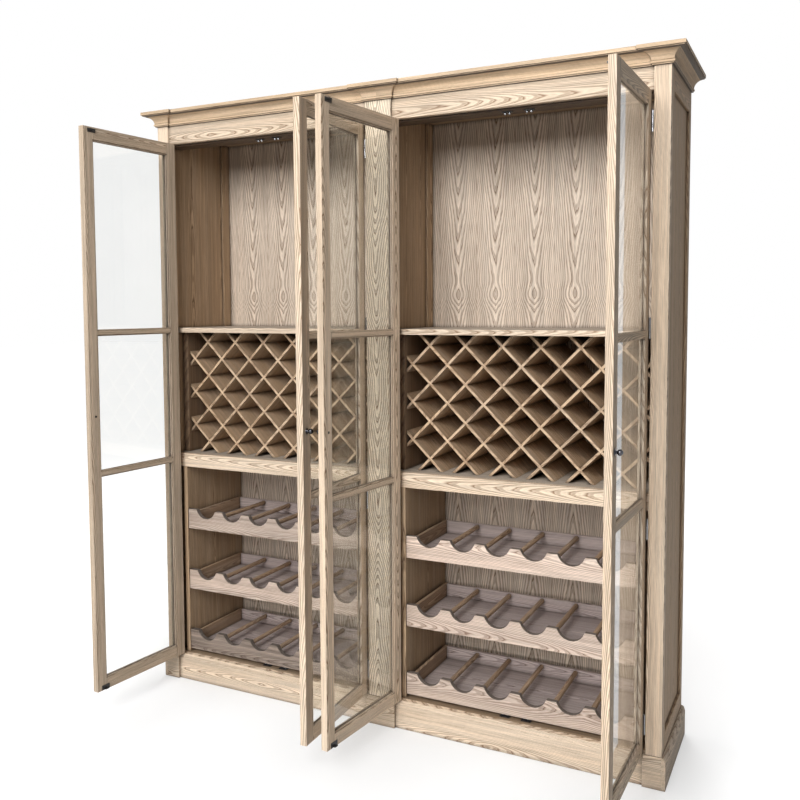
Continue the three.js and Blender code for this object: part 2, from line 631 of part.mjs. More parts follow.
// A runner panel on its battens, with three fixed slide channels and their dampers.
// face is the side the trays run on and inward points from it at the middle of the bay
function runnerPanel(face, wall, inward) {
  const shape = new THREE.Shape();
  shape.moveTo(RUNNER_FRONT, PLINTH_HEIGHT);
  shape.lineTo(BACK_FACE, PLINTH_HEIGHT);
  shape.lineTo(BACK_FACE, LOWER_SHELF_BOTTOM);
  shape.lineTo(CARCASS_FRONT + LOWER_RAIL_THICKNESS, LOWER_SHELF_BOTTOM);
  shape.lineTo(CARCASS_FRONT + LOWER_RAIL_THICKNESS, LOWER_RAIL_BOTTOM);
  shape.lineTo(RUNNER_FRONT, LOWER_RAIL_BOTTOM);
  shape.closePath();
  const rear = face - inward * RUNNER_THICKNESS;
  const pieces = [prismAlongX(shape, Math.min(face, rear), Math.max(face, rear))];
  const frontBatten = CARCASS_FRONT + LOWER_RAIL_THICKNESS + RUNNER_BATTEN_INSET;
  const rearBatten = BACK_FACE - RUNNER_BATTEN_INSET;
  for (const ys of [
    [frontBatten, frontBatten + RUNNER_BATTEN_DEPTH],
    [rearBatten - RUNNER_BATTEN_DEPTH, rearBatten],
  ]) {
    pieces.push(board([wall, rear + inward * OVERRUN], ys, [PLINTH_HEIGHT, LOWER_SHELF_BOTTOM]));
  }
  const channelYs = [TRAY_BACK_OF_FRONT + CHANNEL_CLEAR, BACK_FACE - CHANNEL_BACK_GAP];
  for (const bottom of TRAY_BOTTOMS) {
    const centreZ = bottom + SLIDE_CENTRE;
    const outside = [centreZ - CHANNEL_HEIGHT / 2, centreZ + CHANNEL_HEIGHT / 2];
    const channel = board([face - inward * OVERRUN, face + inward * CHANNEL_DEPTH], channelYs, outside);
    const trough = board(
      [face + inward * CHANNEL_WEB, face + inward * (CHANNEL_DEPTH + OVERRUN)],
      grown(channelYs, OVERRUN),
      grown(outside, -CHANNEL_FLANGE),
    );
    const damper = board(
      [face, face + inward * (CHANNEL_WEB + DAMPER_THICKNESS)],
      [channelYs[1] - DAMPER_LENGTH, channelYs[1]],
      [centreZ - DAMPER_HEIGHT / 2, centreZ + DAMPER_HEIGHT / 2],
    );
    pieces.push(channel.subtract(trough), damper);
  }
  return joined(pieces);
}

const cabinet = new THREE.Group();
cabinet.name = "wine_cabinet";

// Adds one solid as a named mesh to a group, about the group's own origin
function addMesh(group, name, body, material) {
  const result = body.getMesh();
  const indexed = new THREE.BufferGeometry();
  indexed.setAttribute("position", new THREE.Float32BufferAttribute(result.vertProperties, 3));
  indexed.setIndex(Array.from(result.triVerts));
  const mesh = new THREE.Mesh(toCreasedNormals(indexed, CREASE_ANGLE), material);
  mesh.name = name;
  group.add(mesh);
}

// Pieces that run across both bays
addMesh(cabinet, "plinth_front", plinthFront, woodFinish(OAK));
addMesh(cabinet, "bottom_board", board(
  [-SIDE_INNER, SIDE_INNER],
  [PLINTH_BOARD, BACK_FACE],
  [PLINTH_HEIGHT - DECK_THICKNESS, PLINTH_HEIGHT],
), woodFinish(OAK_SHADE));
addMesh(cabinet, "top_board", board(
  [-SIDE_INNER, SIDE_INNER],
  [CARCASS_FRONT, BACK_FACE],
  [CEILING, CARCASS_TOP],
), woodFinish(OAK_SHADE));
addMesh(cabinet, "centre_partition", centrePartition(), woodFinish(OAK_SHADE));
const centreFaces = [[BAY_INNER, 1], [-BAY_INNER, -1]];
addMesh(cabinet, "pilaster_centre", pilaster(-BAY_INNER, BAY_INNER, centreFaces), woodFinish(OAK));
addMesh(cabinet, "cornice", cornice, woodFinish(OAK));

// The carcass pieces of one bay
function addBay(side, hand) {
  const bayXs = [hand * PARTITION_FACE, hand * LINING_FACE];
  addMesh(cabinet, `plinth_side_${side}`, plinthSide(hand), woodFinish(OAK));
  addMesh(cabinet, `side_frame_${side}`, sideFrame(hand), woodFinish(OAK));
  addMesh(cabinet, `side_panel_${side}`, sidePanel(hand), woodFinish(OAK));
  addMesh(cabinet, `side_lining_${side}`, sideLining(hand), woodFinish(OAK_SHADE));
  const outerFace = hand * BAY_OUTER;
  const post = pilaster(outerFace, hand * CARCASS_HALF, [[outerFace, -hand]]);
  addMesh(cabinet, `pilaster_${side}`, post, woodFinish(OAK));
  addMesh(cabinet, `frieze_${side}`, board(
    [hand * BAY_INNER, outerFace],
    [DOOR_RECESS, CARCASS_FRONT],
    [FRIEZE_BOTTOM, CARCASS_TOP],
  ), woodFinish(OAK));
  const stopRailBottom = FRIEZE_BOTTOM - STOP_RAIL_DROP;
  addMesh(cabinet, `stop_rail_${side}`, board(
    bayXs,
    [CARCASS_FRONT, CARCASS_FRONT + STOP_RAIL_DEPTH],
    [stopRailBottom, stopRailBottom + STOP_RAIL_THICKNESS],
  ), woodFinish(OAK_SHADE));
  addMesh(cabinet, `back_panel_${side}`, board(
    [0, hand * SIDE_INNER],
    [BACK_FACE, DEPTH],
    [PLINTH_HEIGHT - DECK_THICKNESS, CARCASS_TOP],
  ), woodFinish(BACK_VENEER));
  addMesh(cabinet, `mid_shelf_${side}`, board(
    bayXs,
    [CARCASS_FRONT, BACK_FACE],
    [MID_SHELF_BOTTOM, MID_SHELF_TOP],
  ), woodFinish(OAK_GREY));
  addMesh(cabinet, `lower_shelf_${side}`, joined([
    board(bayXs, [CARCASS_FRONT, BACK_FACE], [LOWER_SHELF_BOTTOM, LOWER_SHELF_TOP]),
    board(
      bayXs,
      [CARCASS_FRONT, CARCASS_FRONT + LOWER_RAIL_THICKNESS],
      [LOWER_RAIL_BOTTOM, LOWER_SHELF_TOP],
    ),
  ]), woodFinish(OAK_GREY));
  const innerRunner = runnerPanel(hand * RUNNER_INNER_FACE, bayXs[0], hand);
  addMesh(cabinet, `runner_panel_${side}_inner`, innerRunner, woodFinish(OAK_SHADE));
  const outerRunner = runnerPanel(hand * RUNNER_OUTER_FACE, bayXs[1], -hand);
  addMesh(cabinet, `runner_panel_${side}_outer`, outerRunner, woodFinish(OAK_SHADE));
}

// The bottle rack of one bay and the cheeks that hold it
function addRack(side, hand) {
  const centre = hand * BAY_CENTRE;
  const innerEnd = hand * (PARTITION_FACE + INNER_CHEEK_THICKNESS);
  const outerEnd = hand * (LINING_FACE - OUTER_CHEEK_THICKNESS);
  const ys = [CHEEK_FRONT, BACK_FACE];
  const zs = [LOWER_SHELF_TOP, MID_SHELF_BOTTOM];
  addMesh(cabinet, `lattice_${side}`, lattice(centre, [innerEnd, outerEnd]), woodFinish(SLAT_OAK));
  const innerCheek = board([hand * PARTITION_FACE, innerEnd], ys, zs);
  addMesh(cabinet, `lattice_cheek_${side}_inner`, innerCheek, woodFinish(OAK_DARK));
  const outerCheek = board([outerEnd, hand * LINING_FACE], ys, zs);
  addMesh(cabinet, `lattice_cheek_${side}_outer`, outerCheek, woodFinish(OAK_DARK));
}

// One door hangs in a group that stands on its hinge axis and is turned to where the door rests
function addDoor(label, edge, toFree, opening) {
  const axisX = edge + toFree * HINGE_AXIS_FROM_PILASTER;
  const leaf = new THREE.Group();
  leaf.name = `door_${label}`;
  leaf.position.set(axisX, HINGE_Y, 0);
  leaf.rotation.z = -toFree * THREE.MathUtils.degToRad(opening);
  const { frame, glass, knob } = doorSolids(edge, toFree);
  const aboutAxis = (body) => body.translate([-axisX, -HINGE_Y, 0]);
  addMesh(leaf, `door_frame_${label}`, aboutAxis(frame), woodFinish(OAK));
  addMesh(leaf, `door_glass_${label}`, aboutAxis(glass), glassFinish());
  addMesh(leaf, `door_knob_${label}`, aboutAxis(knob), chromeFinish());
  cabinet.add(leaf);
}

function addTray(label, centre, bottom) {
  const tray = new THREE.Group();
  tray.name = `tray_${label}`;
  tray.position.set(centre, 0, bottom);
  const front = prismAlongY(trayFrontOutline(), TRAY_FRONT_SETBACK, TRAY_BACK_OF_FRONT);
  addMesh(tray, `tray_front_${label}`, front, woodFinish(TRAY_OAK));
  addMesh(tray, `tray_box_${label}`, trayBox(), woodFinish(TRAY_BOX_OAK));
  cabinet.add(tray);
}

for (const [side, hand, outerAngle, innerAngle] of [
  ["left", -1, LEFT_OUTER_OPEN_DEGREES, LEFT_INNER_OPEN_DEGREES],
  ["right", 1, RIGHT_OUTER_OPEN_DEGREES, RIGHT_INNER_OPEN_DEGREES],
]) {
  addBay(side, hand);
  addRack(side, hand);
  addDoor(`${side}_outer`, hand * BAY_OUTER, -hand, outerAngle);
  addDoor(`${side}_inner`, hand * BAY_INNER, hand, innerAngle);
  ["bottom", "middle", "top"].forEach((place, index) => {
    addTray(`${side}_${place}`, hand * BAY_CENTRE, TRAY_BOTTOMS[index]);
  });
}

export default cabinet;
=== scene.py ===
# %% [markdown]
# # A wine cabinet in limed oak
# The cabinet has two bays. Each bay has a display space, a lattice rack for bottles, three
# pull-out trays and a pair of glazed doors. The measured solids come first. Every board, hinge
# and slide in this lesson is cut from them or stands on them, so nothing has to be fitted.

# %% Load the solids
import json
import math
import random

import bmesh
import bpy
from mathutils import Matrix, Vector


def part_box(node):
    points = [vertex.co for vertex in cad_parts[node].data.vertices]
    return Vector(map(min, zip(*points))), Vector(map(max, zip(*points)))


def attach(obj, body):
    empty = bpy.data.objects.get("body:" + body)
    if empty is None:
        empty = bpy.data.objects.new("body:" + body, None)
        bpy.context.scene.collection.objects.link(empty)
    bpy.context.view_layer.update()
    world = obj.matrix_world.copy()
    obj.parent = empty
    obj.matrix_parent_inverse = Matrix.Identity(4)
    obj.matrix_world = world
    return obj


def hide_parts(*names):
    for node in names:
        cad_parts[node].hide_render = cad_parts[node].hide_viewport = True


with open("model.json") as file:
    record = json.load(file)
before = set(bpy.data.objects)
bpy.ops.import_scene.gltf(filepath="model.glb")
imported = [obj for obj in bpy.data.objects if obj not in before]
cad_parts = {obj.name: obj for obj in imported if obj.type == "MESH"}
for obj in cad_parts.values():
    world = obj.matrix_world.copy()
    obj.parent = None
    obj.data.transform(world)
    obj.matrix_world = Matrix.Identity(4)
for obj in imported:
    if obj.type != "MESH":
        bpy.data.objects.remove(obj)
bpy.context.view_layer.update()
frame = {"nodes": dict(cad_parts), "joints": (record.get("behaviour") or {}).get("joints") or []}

# %% [markdown]
# ## The camera
# The viewpoint stands to the right of the cabinet, at two thirds of its height, and looks left
# and slightly down. A camera can be aimed with rotation angles, but building its matrix from
# three plain directions makes it clear which way it looks, and adds a small roll easily.

# %% Aim the camera
IMAGE_SIZE = 800
FOCAL_PIXELS = 874.07
CENTRE_PIXEL = (389.87, 364.77)
SENSOR = 36.0
CAMERA_PLACE = Vector((1.49191, -2.87979, 1.58328))
LOOK_LEFT, LOOK_DOWN, ROLL = (math.radians(a) for a in (26.67, 3.67, -0.29))

forward = Vector((
    -math.sin(LOOK_LEFT) * math.cos(LOOK_DOWN),
    math.cos(LOOK_LEFT) * math.cos(LOOK_DOWN),
    -math.sin(LOOK_DOWN),
))
level = forward.cross(Vector((0, 0, 1))).normalized()
rise = level.cross(forward)
right = level * math.cos(ROLL) + rise * math.sin(ROLL)
up = rise * math.cos(ROLL) - level * math.sin(ROLL)

lens = bpy.data.cameras.new("camera")
lens.sensor_width = SENSOR
lens.lens = SENSOR * FOCAL_PIXELS / IMAGE_SIZE
lens.shift_x = (IMAGE_SIZE / 2 - CENTRE_PIXEL[0]) / IMAGE_SIZE
lens.shift_y = (CENTRE_PIXEL[1] - IMAGE_SIZE / 2) / IMAGE_SIZE
lens.clip_end = 200
camera = bpy.data.objects.new("camera", lens)
bpy.context.scene.collection.objects.link(camera)
axes = Matrix((right, up, -forward)).transposed().to_4x4()
camera.matrix_world = Matrix.Translation(CAMERA_PLACE) @ axes
bpy.context.scene.camera = camera
bpy.context.scene.view_settings.view_transform = "Standard"
print("lens", round(lens.lens, 2), "mm")

# %% [markdown]
# ## Small helpers for node trees
# Materials are easier to read when each node takes one line. These helpers add a node, set its
# plain values and link its inputs, and they place the nodes in rows so the tree can be opened.

# %% Node helpers
NODE_WIDTH, NODE_HEIGHT, NODES_IN_ROW = 190, 260, 12


class Tree:
    """Adds nodes to a node tree, row by row."""

    def __init__(self, tree):
        self.tree = tree
        self.count = 0

    def add(self, kind, settings=None, **inputs):
        """Adds a node. An input goes by its label, with _ for a space, or by i and its number."""
        node = self.tree.nodes.new(kind)
        row, column = divmod(self.count, NODES_IN_ROW)
        node.location = (column * NODE_WIDTH, -row * NODE_HEIGHT)
        self.count += 1
        for key, value in (settings or {}).items():
            setattr(node, key, value)
        for key, value in inputs.items():
            numbered = key[0] == "i" and key[1:].isdigit()
            self.feed(node.inputs[int(key[1:]) if numbered else key.replace("_", " ")], value)
        return node

    def feed(self, socket, value):
        """Links a socket to another node's output, or sets its plain value."""
        if isinstance(value, bpy.types.NodeSocket):
            self.tree.links.new(value, socket)
        else:
            socket.default_value = value

    def group(self, group, **inputs):
        return self.add("ShaderNodeGroup", {"node_tree": group}, **inputs).outputs

    def attribute(self, label, output="Fac"):
        return self.add("ShaderNodeAttribute", {"attribute_name": label}).outputs[output]

    def object_place(self):
        return self.add("ShaderNodeTexCoord").outputs["Object"]

    def math(self, operation, first, second=0.0):
        node = self.add("ShaderNodeMath", {"operation": operation}, i0=first, i1=second)
        return node.outputs[0]

    def plus(self, first, *others):
        for other in others:
            first = self.math("ADD", first, other)
        return first

    def minus(self, first, second):
        return self.math("SUBTRACT", first, second)

    def times(self, first, second):
        return self.math("MULTIPLY", first, second)

    def swing(self, noise, width):
        """Moves a noise from 0 to 1 to both sides of 0, and widens it."""
        return self.times(self.minus(noise, 0.5), width)

    def remap(self, value, low, high, to_low=0.0, to_high=1.0):
        """Takes a value from one range to another, and holds it at the ends."""
        inputs = {"i0": value, "i1": low, "i2": high, "i3": to_low, "i4": to_high}
        return self.add("ShaderNodeMapRange", {"clamp": True}, **inputs).outputs[0]

    def vector(self, x, y, z):
        return self.add("ShaderNodeCombineXYZ", X=x, Y=y, Z=z).outputs[0]

    def split(self, value):
        return self.add("ShaderNodeSeparateXYZ", i0=value).outputs

    def noise(self, place, scale=1.0, detail=2.0, roughness=0.5):
        inputs = {"Vector": place, "Scale": scale, "Detail": detail, "Roughness": roughness}
        return self.add("ShaderNodeTexNoise", **inputs).outputs["Fac"]

    def mix(self, share, first, second, blend="MIX"):
        settings = {"data_type": "RGBA", "blend_type": blend}
        return self.add("ShaderNodeMix", settings, i0=share, i6=first, i7=second).outputs[2]


print("node helpers ready, nodes in a row:", NODES_IN_ROW)


# %% Groups, materials and colours
def new_group(name, inputs, outputs):
    """A shader node group with named sockets: inputs are (name, kind, default)."""
    group = bpy.data.node_groups.new(name, "ShaderNodeTree")
    for label, kind, default in inputs:
        socket = group.interface.new_socket(label, in_out="INPUT", socket_type=kind)
        if default is not None:
            socket.default_value = default
    for label, kind in outputs:
        group.interface.new_socket(label, in_out="OUTPUT", socket_type=kind)
    tree = Tree(group)
    start = tree.add("NodeGroupInput")
    end = tree.add("NodeGroupOutput")
    return group, tree, start.outputs, end.inputs


def new_material(name):
    """A material, its tree, and the inputs of its Principled BSDF."""
    material = bpy.data.materials.new(name)
    material.use_nodes = True
    surface = material.node_tree.nodes["Principled BSDF"].inputs
    return material, Tree(material.node_tree), surface


def linear(red, green, blue):
    """An sRGB colour from 0 to 255, as the linear colour that Blender's sockets hold."""
    def channel(value):
        value /= 255
        return value / 12.92 if value <= 0.04045 else ((value + 0.055) / 1.055) ** 2.4
    return (channel(red), channel(green), channel(blue), 1.0)


FLOAT, VECTOR, COLOUR = "NodeSocketFloat", "NodeSocketVector", "NodeSocketColor"
print("middle grey is", round(linear(128, 128, 128)[0], 4))

# %% [markdown]
# ## Ring lines
# A year's ring in oak is a soft pale stretch and a close cluster of dark pores. Whatever tells
# which ring a point is in, this group draws that ring: one broad cluster for each whole step of
# Level, with three finer lines in it that start sharp and fade. A plain wave would give stripes
# that are all alike. It is a group because boards and veneer both draw their rings with it.

# %% Ring line group
LINES_IN_RING, FADE, ABOVE_ZERO = 3.0, 1.3, 300.0
FAINTEST_LINE, BROAD_SHARE = 0.25, 0.38
ring_lines, t, given, result = new_group("ring_lines", [("Level", FLOAT, 0.0)], [("Late", FLOAT)])
wave = t.math("COSINE", t.times(given["Level"], math.tau))
cluster = t.remap(wave, -0.6, 1.0)
fine = t.math("FRACT", t.plus(t.times(given["Level"], LINES_IN_RING), ABOVE_ZERO))
line = t.times(t.math("POWER", t.minus(1.0, fine), FADE), t.remap(fine, 0.0, 0.2))
strength = t.plus(FAINTEST_LINE, t.times(cluster, 1 - FAINTEST_LINE))
t.feed(result["Late"], t.plus(t.times(line, strength), t.times(cluster, BROAD_SHARE)))
print(ring_lines.name, "ready")

# %% [markdown]
# ## Grain cut from a log
# Plain-sawn oak shows arches because a flat board slices through the rings of a log at a small
# angle. A wood picture could be wrapped round each board, but then its edges and ends never
# match. Here the log itself is described: the distance from its gently bent heart gives the
# rings, and each board carries its own place in the log in an attribute named "grain". Its X
# runs along the board, Y across it and Z through its thickness. Tilt lets the log climb along
# the board, up to a turning point and down again, which turns straight lines into arches.

# %% Grain group
TURNING_POINT, SWAY, BEND_SHARE = 1.7, 0.04, 4.0
RIPPLE = 0.5
PORE_LIMITS, BAND_LIMITS, LIME_LIMITS = (0.48, 0.66), (0.3, 0.7), (0.42, 0.7)
RING_DEPTH, PORE_DEPTH = 0.3, 0.6
GRAIN_OUTPUTS = [(label, FLOAT) for label in ("Rings", "Pores", "Bands", "Lime", "Height")]
oak_grain, t, given, result = new_group(
    "oak_grain",
    [
        ("Place", VECTOR, None),
        ("Ring Width", FLOAT, 0.0034),
        ("Heart Depth", FLOAT, 0.012),
        ("Tilt", FLOAT, 0.045),
        ("Figure", FLOAT, 0.006),
        ("Figure Length", FLOAT, 0.6),
    ],
    GRAIN_OUTPUTS,
)
along, across, through = t.split(given["Place"])


def grain_noise(length_scale, width_scale, detail=2.0, roughness=0.5, start=0.0):
    """Noise in long thin cells that lie along the board."""
    place = t.vector(
        t.plus(t.times(along, length_scale), start),
        t.times(across, width_scale),
        t.times(through, width_scale),
    )
    return t.noise(place, 1.0, detail, roughness)


bend_scale = t.math("DIVIDE", 1.0, given["Figure Length"])
bend = t.swing(grain_noise(bend_scale, 4.0, 1.5), given["Figure"])
heart = t.plus(through, given["Heart Depth"])
climb = t.times(t.math("PINGPONG", along, TURNING_POINT), given["Tilt"])
aside = t.plus(across, t.swing(grain_noise(1.3, 1.0, 1.0, start=31.7), SWAY))
radius = t.math("SQRT", t.plus(t.math("POWER", aside, 2.0), t.math("POWER", heart, 2.0)))
ripple = t.times(grain_noise(14.0, 150.0), RIPPLE)
distance = t.plus(t.minus(radius, climb), t.times(bend, BEND_SHARE))
rings = t.plus(t.math("DIVIDE", distance, given["Ring Width"]), ripple)
late = t.group(ring_lines, Level=rings)["Late"]
pores = t.remap(grain_noise(7.0, 430.0, 3.0, 0.6), *PORE_LIMITS)
t.feed(result["Rings"], late)
t.feed(result["Pores"], pores)
t.feed(result["Bands"], t.remap(grain_noise(2.0, 85.0, 2.0, 0.6, 7.3), *BAND_LIMITS))
t.feed(result["Lime"], t.remap(grain_noise(1.2, 22.0, 3.0, 0.6, 13.1), *LIME_LIMITS))
sunk = t.plus(t.times(late, RING_DEPTH), t.times(pores, PORE_DEPTH))
t.feed(result["Height"], t.minus(0.5, sunk))
print(oak_grain.name, len(oak_grain.nodes), "nodes")

# %% [markdown]
# ## Slip-matched veneer
# The back panels are veneered with leaves cut one after another from the same log and laid side
# by side, so every leaf repeats the same arches and the same eye. The rings are the level lines
# of a simple hill: a blunt ridge down the leaf's middle that gets steeper to its sides, and that
# falls away above and below a turning height, with a dent where the eye is. FLOOR gives the
# leaf's number and FRACT the place in it, which is what repeats the hill. First Heart is the
# middle of one leaf, so each bay can start its leaves where the real one does.

# %% Veneer group
LEAF_WIDTH = 0.1587
FIRST_HEART = {"left": -0.8588, "right": 0.1463}
TURNING_HEIGHT = 1.22
EYE_HEIGHT, EYE_SPREAD, EYE_DEPTH = 1.632, 0.042, -1.7
RIDGE, RIDGE_BLUNT, FLANK, FALL = 45.0, 9e-6, 700.0, -11.0
LEAF_DRIFT, LEAF_SWAY, WOBBLE = 0.11, 0.02, 1.3
SEAM, SEAM_DARK = 0.012, 0.8
leaf_grain, t, given, result = new_group(
    "veneer_leaves",
    [("Place", VECTOR, None), ("Leaf Width", FLOAT, LEAF_WIDTH), ("First Heart", FLOAT, 0.0)],
    GRAIN_OUTPUTS,
)
x, _, z = t.split(given["Place"])


def leaf_noise(across, height_scale, detail=2.0, roughness=0.5, start=0.0):
    """Noise in the panel's plane, in cells as tall as the height's scale makes them."""
    place = t.vector(across, start, t.times(z, height_scale))
    return t.noise(place, 1.0, detail, roughness)


from_heart = t.math("DIVIDE", t.minus(x, given["First Heart"]), given["Leaf Width"])
turns = t.plus(from_heart, 0.5)
leaf = t.math("FLOOR", turns)
from_seam = t.math("FRACT", turns)
inside = t.times(t.minus(from_seam, 0.5), given["Leaf Width"])
drift = t.times(leaf, LEAF_DRIFT)
middle = t.plus(inside, t.swing(leaf_noise(0.0, 2.6, 1.5, start=drift), LEAF_SWAY))
square = t.math("POWER", middle, 2.0)
blunt = t.math("SQRT", t.plus(square, RIDGE_BLUNT))
hill = t.plus(t.times(blunt, RIDGE), t.times(square, FLANK))
slope = t.times(t.math("ABSOLUTE", t.minus(z, TURNING_HEIGHT)), FALL)
from_eye = t.math("DIVIDE", t.minus(z, EYE_HEIGHT), EYE_SPREAD)
eye = t.times(t.math("EXPONENT", t.times(t.math("POWER", from_eye, 2.0), -1.0)), EYE_DEPTH)
wobble = t.times(leaf_noise(t.times(inside, 22.0), 2.4, start=drift), WOBBLE)
ripple = t.times(leaf_noise(t.times(inside, 150.0), 9.0, 3.0, start=drift), RIPPLE)
rings = t.plus(t.plus(hill, slope), t.plus(eye, wobble), ripple)
late = t.group(ring_lines, Level=rings)["Late"]
seam = t.math("MAXIMUM", t.remap(from_seam, SEAM, 0.0), t.remap(from_seam, 1 - SEAM, 1.0))
streak = leaf_noise(t.times(x, 420.0), 7.0, 3.0, 0.6)
bands = leaf_noise(t.times(x, 70.0), 1.6, start=3.0)
lime = leaf_noise(t.times(x, 16.0), 1.1, 3.0, start=9.0)
t.feed(result["Rings"], t.math("MAXIMUM", late, t.times(seam, SEAM_DARK)))
t.feed(result["Pores"], t.remap(streak, *PORE_LIMITS))
t.feed(result["Bands"], t.remap(bands, *BAND_LIMITS))
t.feed(result["Lime"], t.remap(lime, *LIME_LIMITS))
t.feed(result["Height"], t.minus(0.5, t.times(late, RING_DEPTH)))
print(leaf_grain.name, "leaf width", LEAF_WIDTH)

# %% [markdown]
# ## Glaze and painted shade in the corners
# After liming, a thin brown glaze is wiped over the cabinet and stays in the inner corners and
# under the beads. This group darkens those closed-in places towards brown, so it paints their
# shade as well as the glaze, which makes every joint and moulding easy to read. An ambient
# occlusion node finds those places, because it measures how closed-in a point is. Darkening by
# a painted mask would work too, but it would have to be painted again after each change of shape.

# %% Corner glaze and painted shade group
GLAZE_AND_SHADE_BROWN = linear(44, 32, 24)
OPEN, CLOSED_IN = 0.95, 0.35
corner_glaze_and_shade, t, given, result = new_group(
    "corner_glaze_and_shade",
    [("Colour", COLOUR, None), ("Reach", FLOAT, 0.016), ("Strength", FLOAT, 0.75)],
    [("Colour", COLOUR), ("Mask", FLOAT)],
)
settings = {"samples": 6, "only_local": False}
# Painted shade and glaze: points that ambient occlusion finds closed-in are darkened towards
# brown.
openness = t.add("ShaderNodeAmbientOcclusion", settings, Distance=given["Reach"]).outputs["AO"]
mask = t.times(t.remap(openness, OPEN, CLOSED_IN), given["Strength"])
t.feed(result["Mask"], mask)
t.feed(result["Colour"], t.mix(mask, given["Colour"], GLAZE_AND_SHADE_BROWN))
print(corner_glaze_and_shade.name, "ready")

# %% [markdown]
# ## Limed oak finishes
# The cabinet is stained a pale brown and rubbed with white lime, so it looks sandy outside and
# a little browner inside. One function builds every oak finish: it mixes an early-wood and a
# late-wood colour by the rings, darkens the pores, and lets each board drift lighter or darker
# by its tone, which on some boards also carries painted light and shade. Cut edges that drank
# more stain carry a stain mark, and on the cornice the same mark paints shade on faces that look
# down. One finish for all would be simpler, but the real boards come from different logs, the
# trays are greyer, and the sides get a darker, warmer copy of the oak as painted shade.

# %% Oak finishes
PORE_BROWN = linear(92, 70, 52)
LIME_WHITE = linear(226, 218, 206)
STAIN_AND_SHADE_GREY = linear(96, 88, 82)
PORE_SHARE = 0.34
BAND_SHADES = (0.8, 1.14)
ROUGH_EARLY, ROUGH_LATE, SHINE = 0.68, 0.55, 0.3
BUMP_STRENGTH, BUMP_DEPTH = 0.4, 0.0006


def oak(name, early, late, lime=0.3, reach=0.016, glaze_and_shade_strength=0.75, first_heart=None, **log):
    """A limed oak finish from an early-wood and a late-wood colour, each sRGB from 0 to 255.

    log sets inputs of the grain group, such as Ring_Width. With a first heart, it is veneer.
    """
    material, tree, surface = new_material(name)
    if first_heart is None:
        grain = tree.group(oak_grain, Place=tree.attribute("grain", "Vector"), **log)
    else:
        grain = tree.group(leaf_grain, Place=tree.object_place(), First_Heart=first_heart)
    colour = tree.mix(grain["Rings"], linear(*early), linear(*late))
    colour = tree.mix(tree.times(grain["Pores"], PORE_SHARE), colour, PORE_BROWN)
    colour = tree.mix(tree.times(grain["Lime"], lime), colour, LIME_WHITE)
    bands = tree.remap(grain["Bands"], 0.0, 1.0, *BAND_SHADES)
    # Tone and stain come from the boards: real tone and stain, and on some boards painted light
    # and shade.
    shade = tree.plus(bands, tree.attribute("tone"))
    colour = tree.mix(1.0, colour, tree.vector(shade, shade, shade), "MULTIPLY")
    colour = tree.mix(tree.attribute("stain"), colour, STAIN_AND_SHADE_GREY)
    # Painted shade and glaze darken the closed-in corners.
    glazed_and_shaded = tree.group(corner_glaze_and_shade, Colour=colour, Reach=reach, Strength=glaze_and_shade_strength)
    relief = {"Height": grain["Height"], "Strength": BUMP_STRENGTH, "Distance": BUMP_DEPTH}
    bump = tree.add("ShaderNodeBump", **relief)
    roughness = tree.remap(grain["Rings"], 0.0, 1.0, ROUGH_EARLY, ROUGH_LATE)
    tree.feed(surface["Base Color"], glazed_and_shaded["Colour"])
    tree.feed(surface["Roughness"], roughness)
    tree.feed(surface["Normal"], bump.outputs["Normal"])
    tree.feed(surface["Specular IOR Level"], SHINE)
    return material


OAK = oak("limed_oak", (240, 220, 195), (146, 115, 86), 0.16)
OAK_WARM = oak("limed_oak_warm", (240, 214, 180), (166, 130, 96), 0.15, reach=0.008, glaze_and_shade_strength=1.0)
# Painted shade: the sides get a darker, warmer copy of the oak, because they are out of the main
# light.
OAK_SIDE_SHADED = oak("limed_oak_side", (218, 188, 152), (142, 108, 78), 0.12)
OAK_INSIDE = oak(
    "limed_oak_inside", (194, 166, 134), (110, 86, 64), 0.08,
    Ring_Width=0.0062, Heart_Depth=0.02, Tilt=0.03, Figure=0.012,
)
OAK_FIGURED = oak(
    "limed_oak_figured", (250, 236, 212), (114, 86, 60), 0.1,
    Ring_Width=0.0078, Tilt=0.14, Figure=0.02, Figure_Length=0.3,
)
OAK_DARK = oak("limed_oak_dark", (142, 116, 90), (96, 72, 54), 0.05)
OAK_GREY = oak("limed_oak_grey", (184, 172, 158), (146, 132, 118))
OAK_SLAT = oak("limed_oak_slats", (206, 178, 146), (140, 110, 84), 0.15)
OAK_TRAY = oak(
    "limed_oak_tray", (226, 206, 190), (140, 114, 98), 0.14,
    Ring_Width=0.0046, Tilt=0.07, Figure=0.01, Figure_Length=0.45,
)
OAK_TRAY_BOX = oak(
    "limed_oak_tray_box", (196, 182, 178), (124, 108, 104), 0.1, Ring_Width=0.0042,
)
OAK_DOWEL = oak("limed_oak_dowels", (186, 158, 130), (120, 94, 72), 0.12)
VENEERS = {
    side: oak(f"limed_veneer_{side}", (228, 212, 194), (124, 100, 80), 0.15, first_heart=first)
    for side, first in FIRST_HEART.items()
}
print("oak finishes:", sum(m.name.startswith("limed") for m in bpy.data.materials))

# %% [markdown]
# ## Metal, plastic and glass
# The knobs and hinges are chromed, the slides and catches are black, the dampers are blue
# plastic and the door panes are clear float glass. The knobs' chrome is darkened as a painted
# reflection of a dark room, since the world here is white. A plain colour looks dead on metal, so
# a faint smudge pattern moves the roughness. It is a node group because all six finishes share
# it.

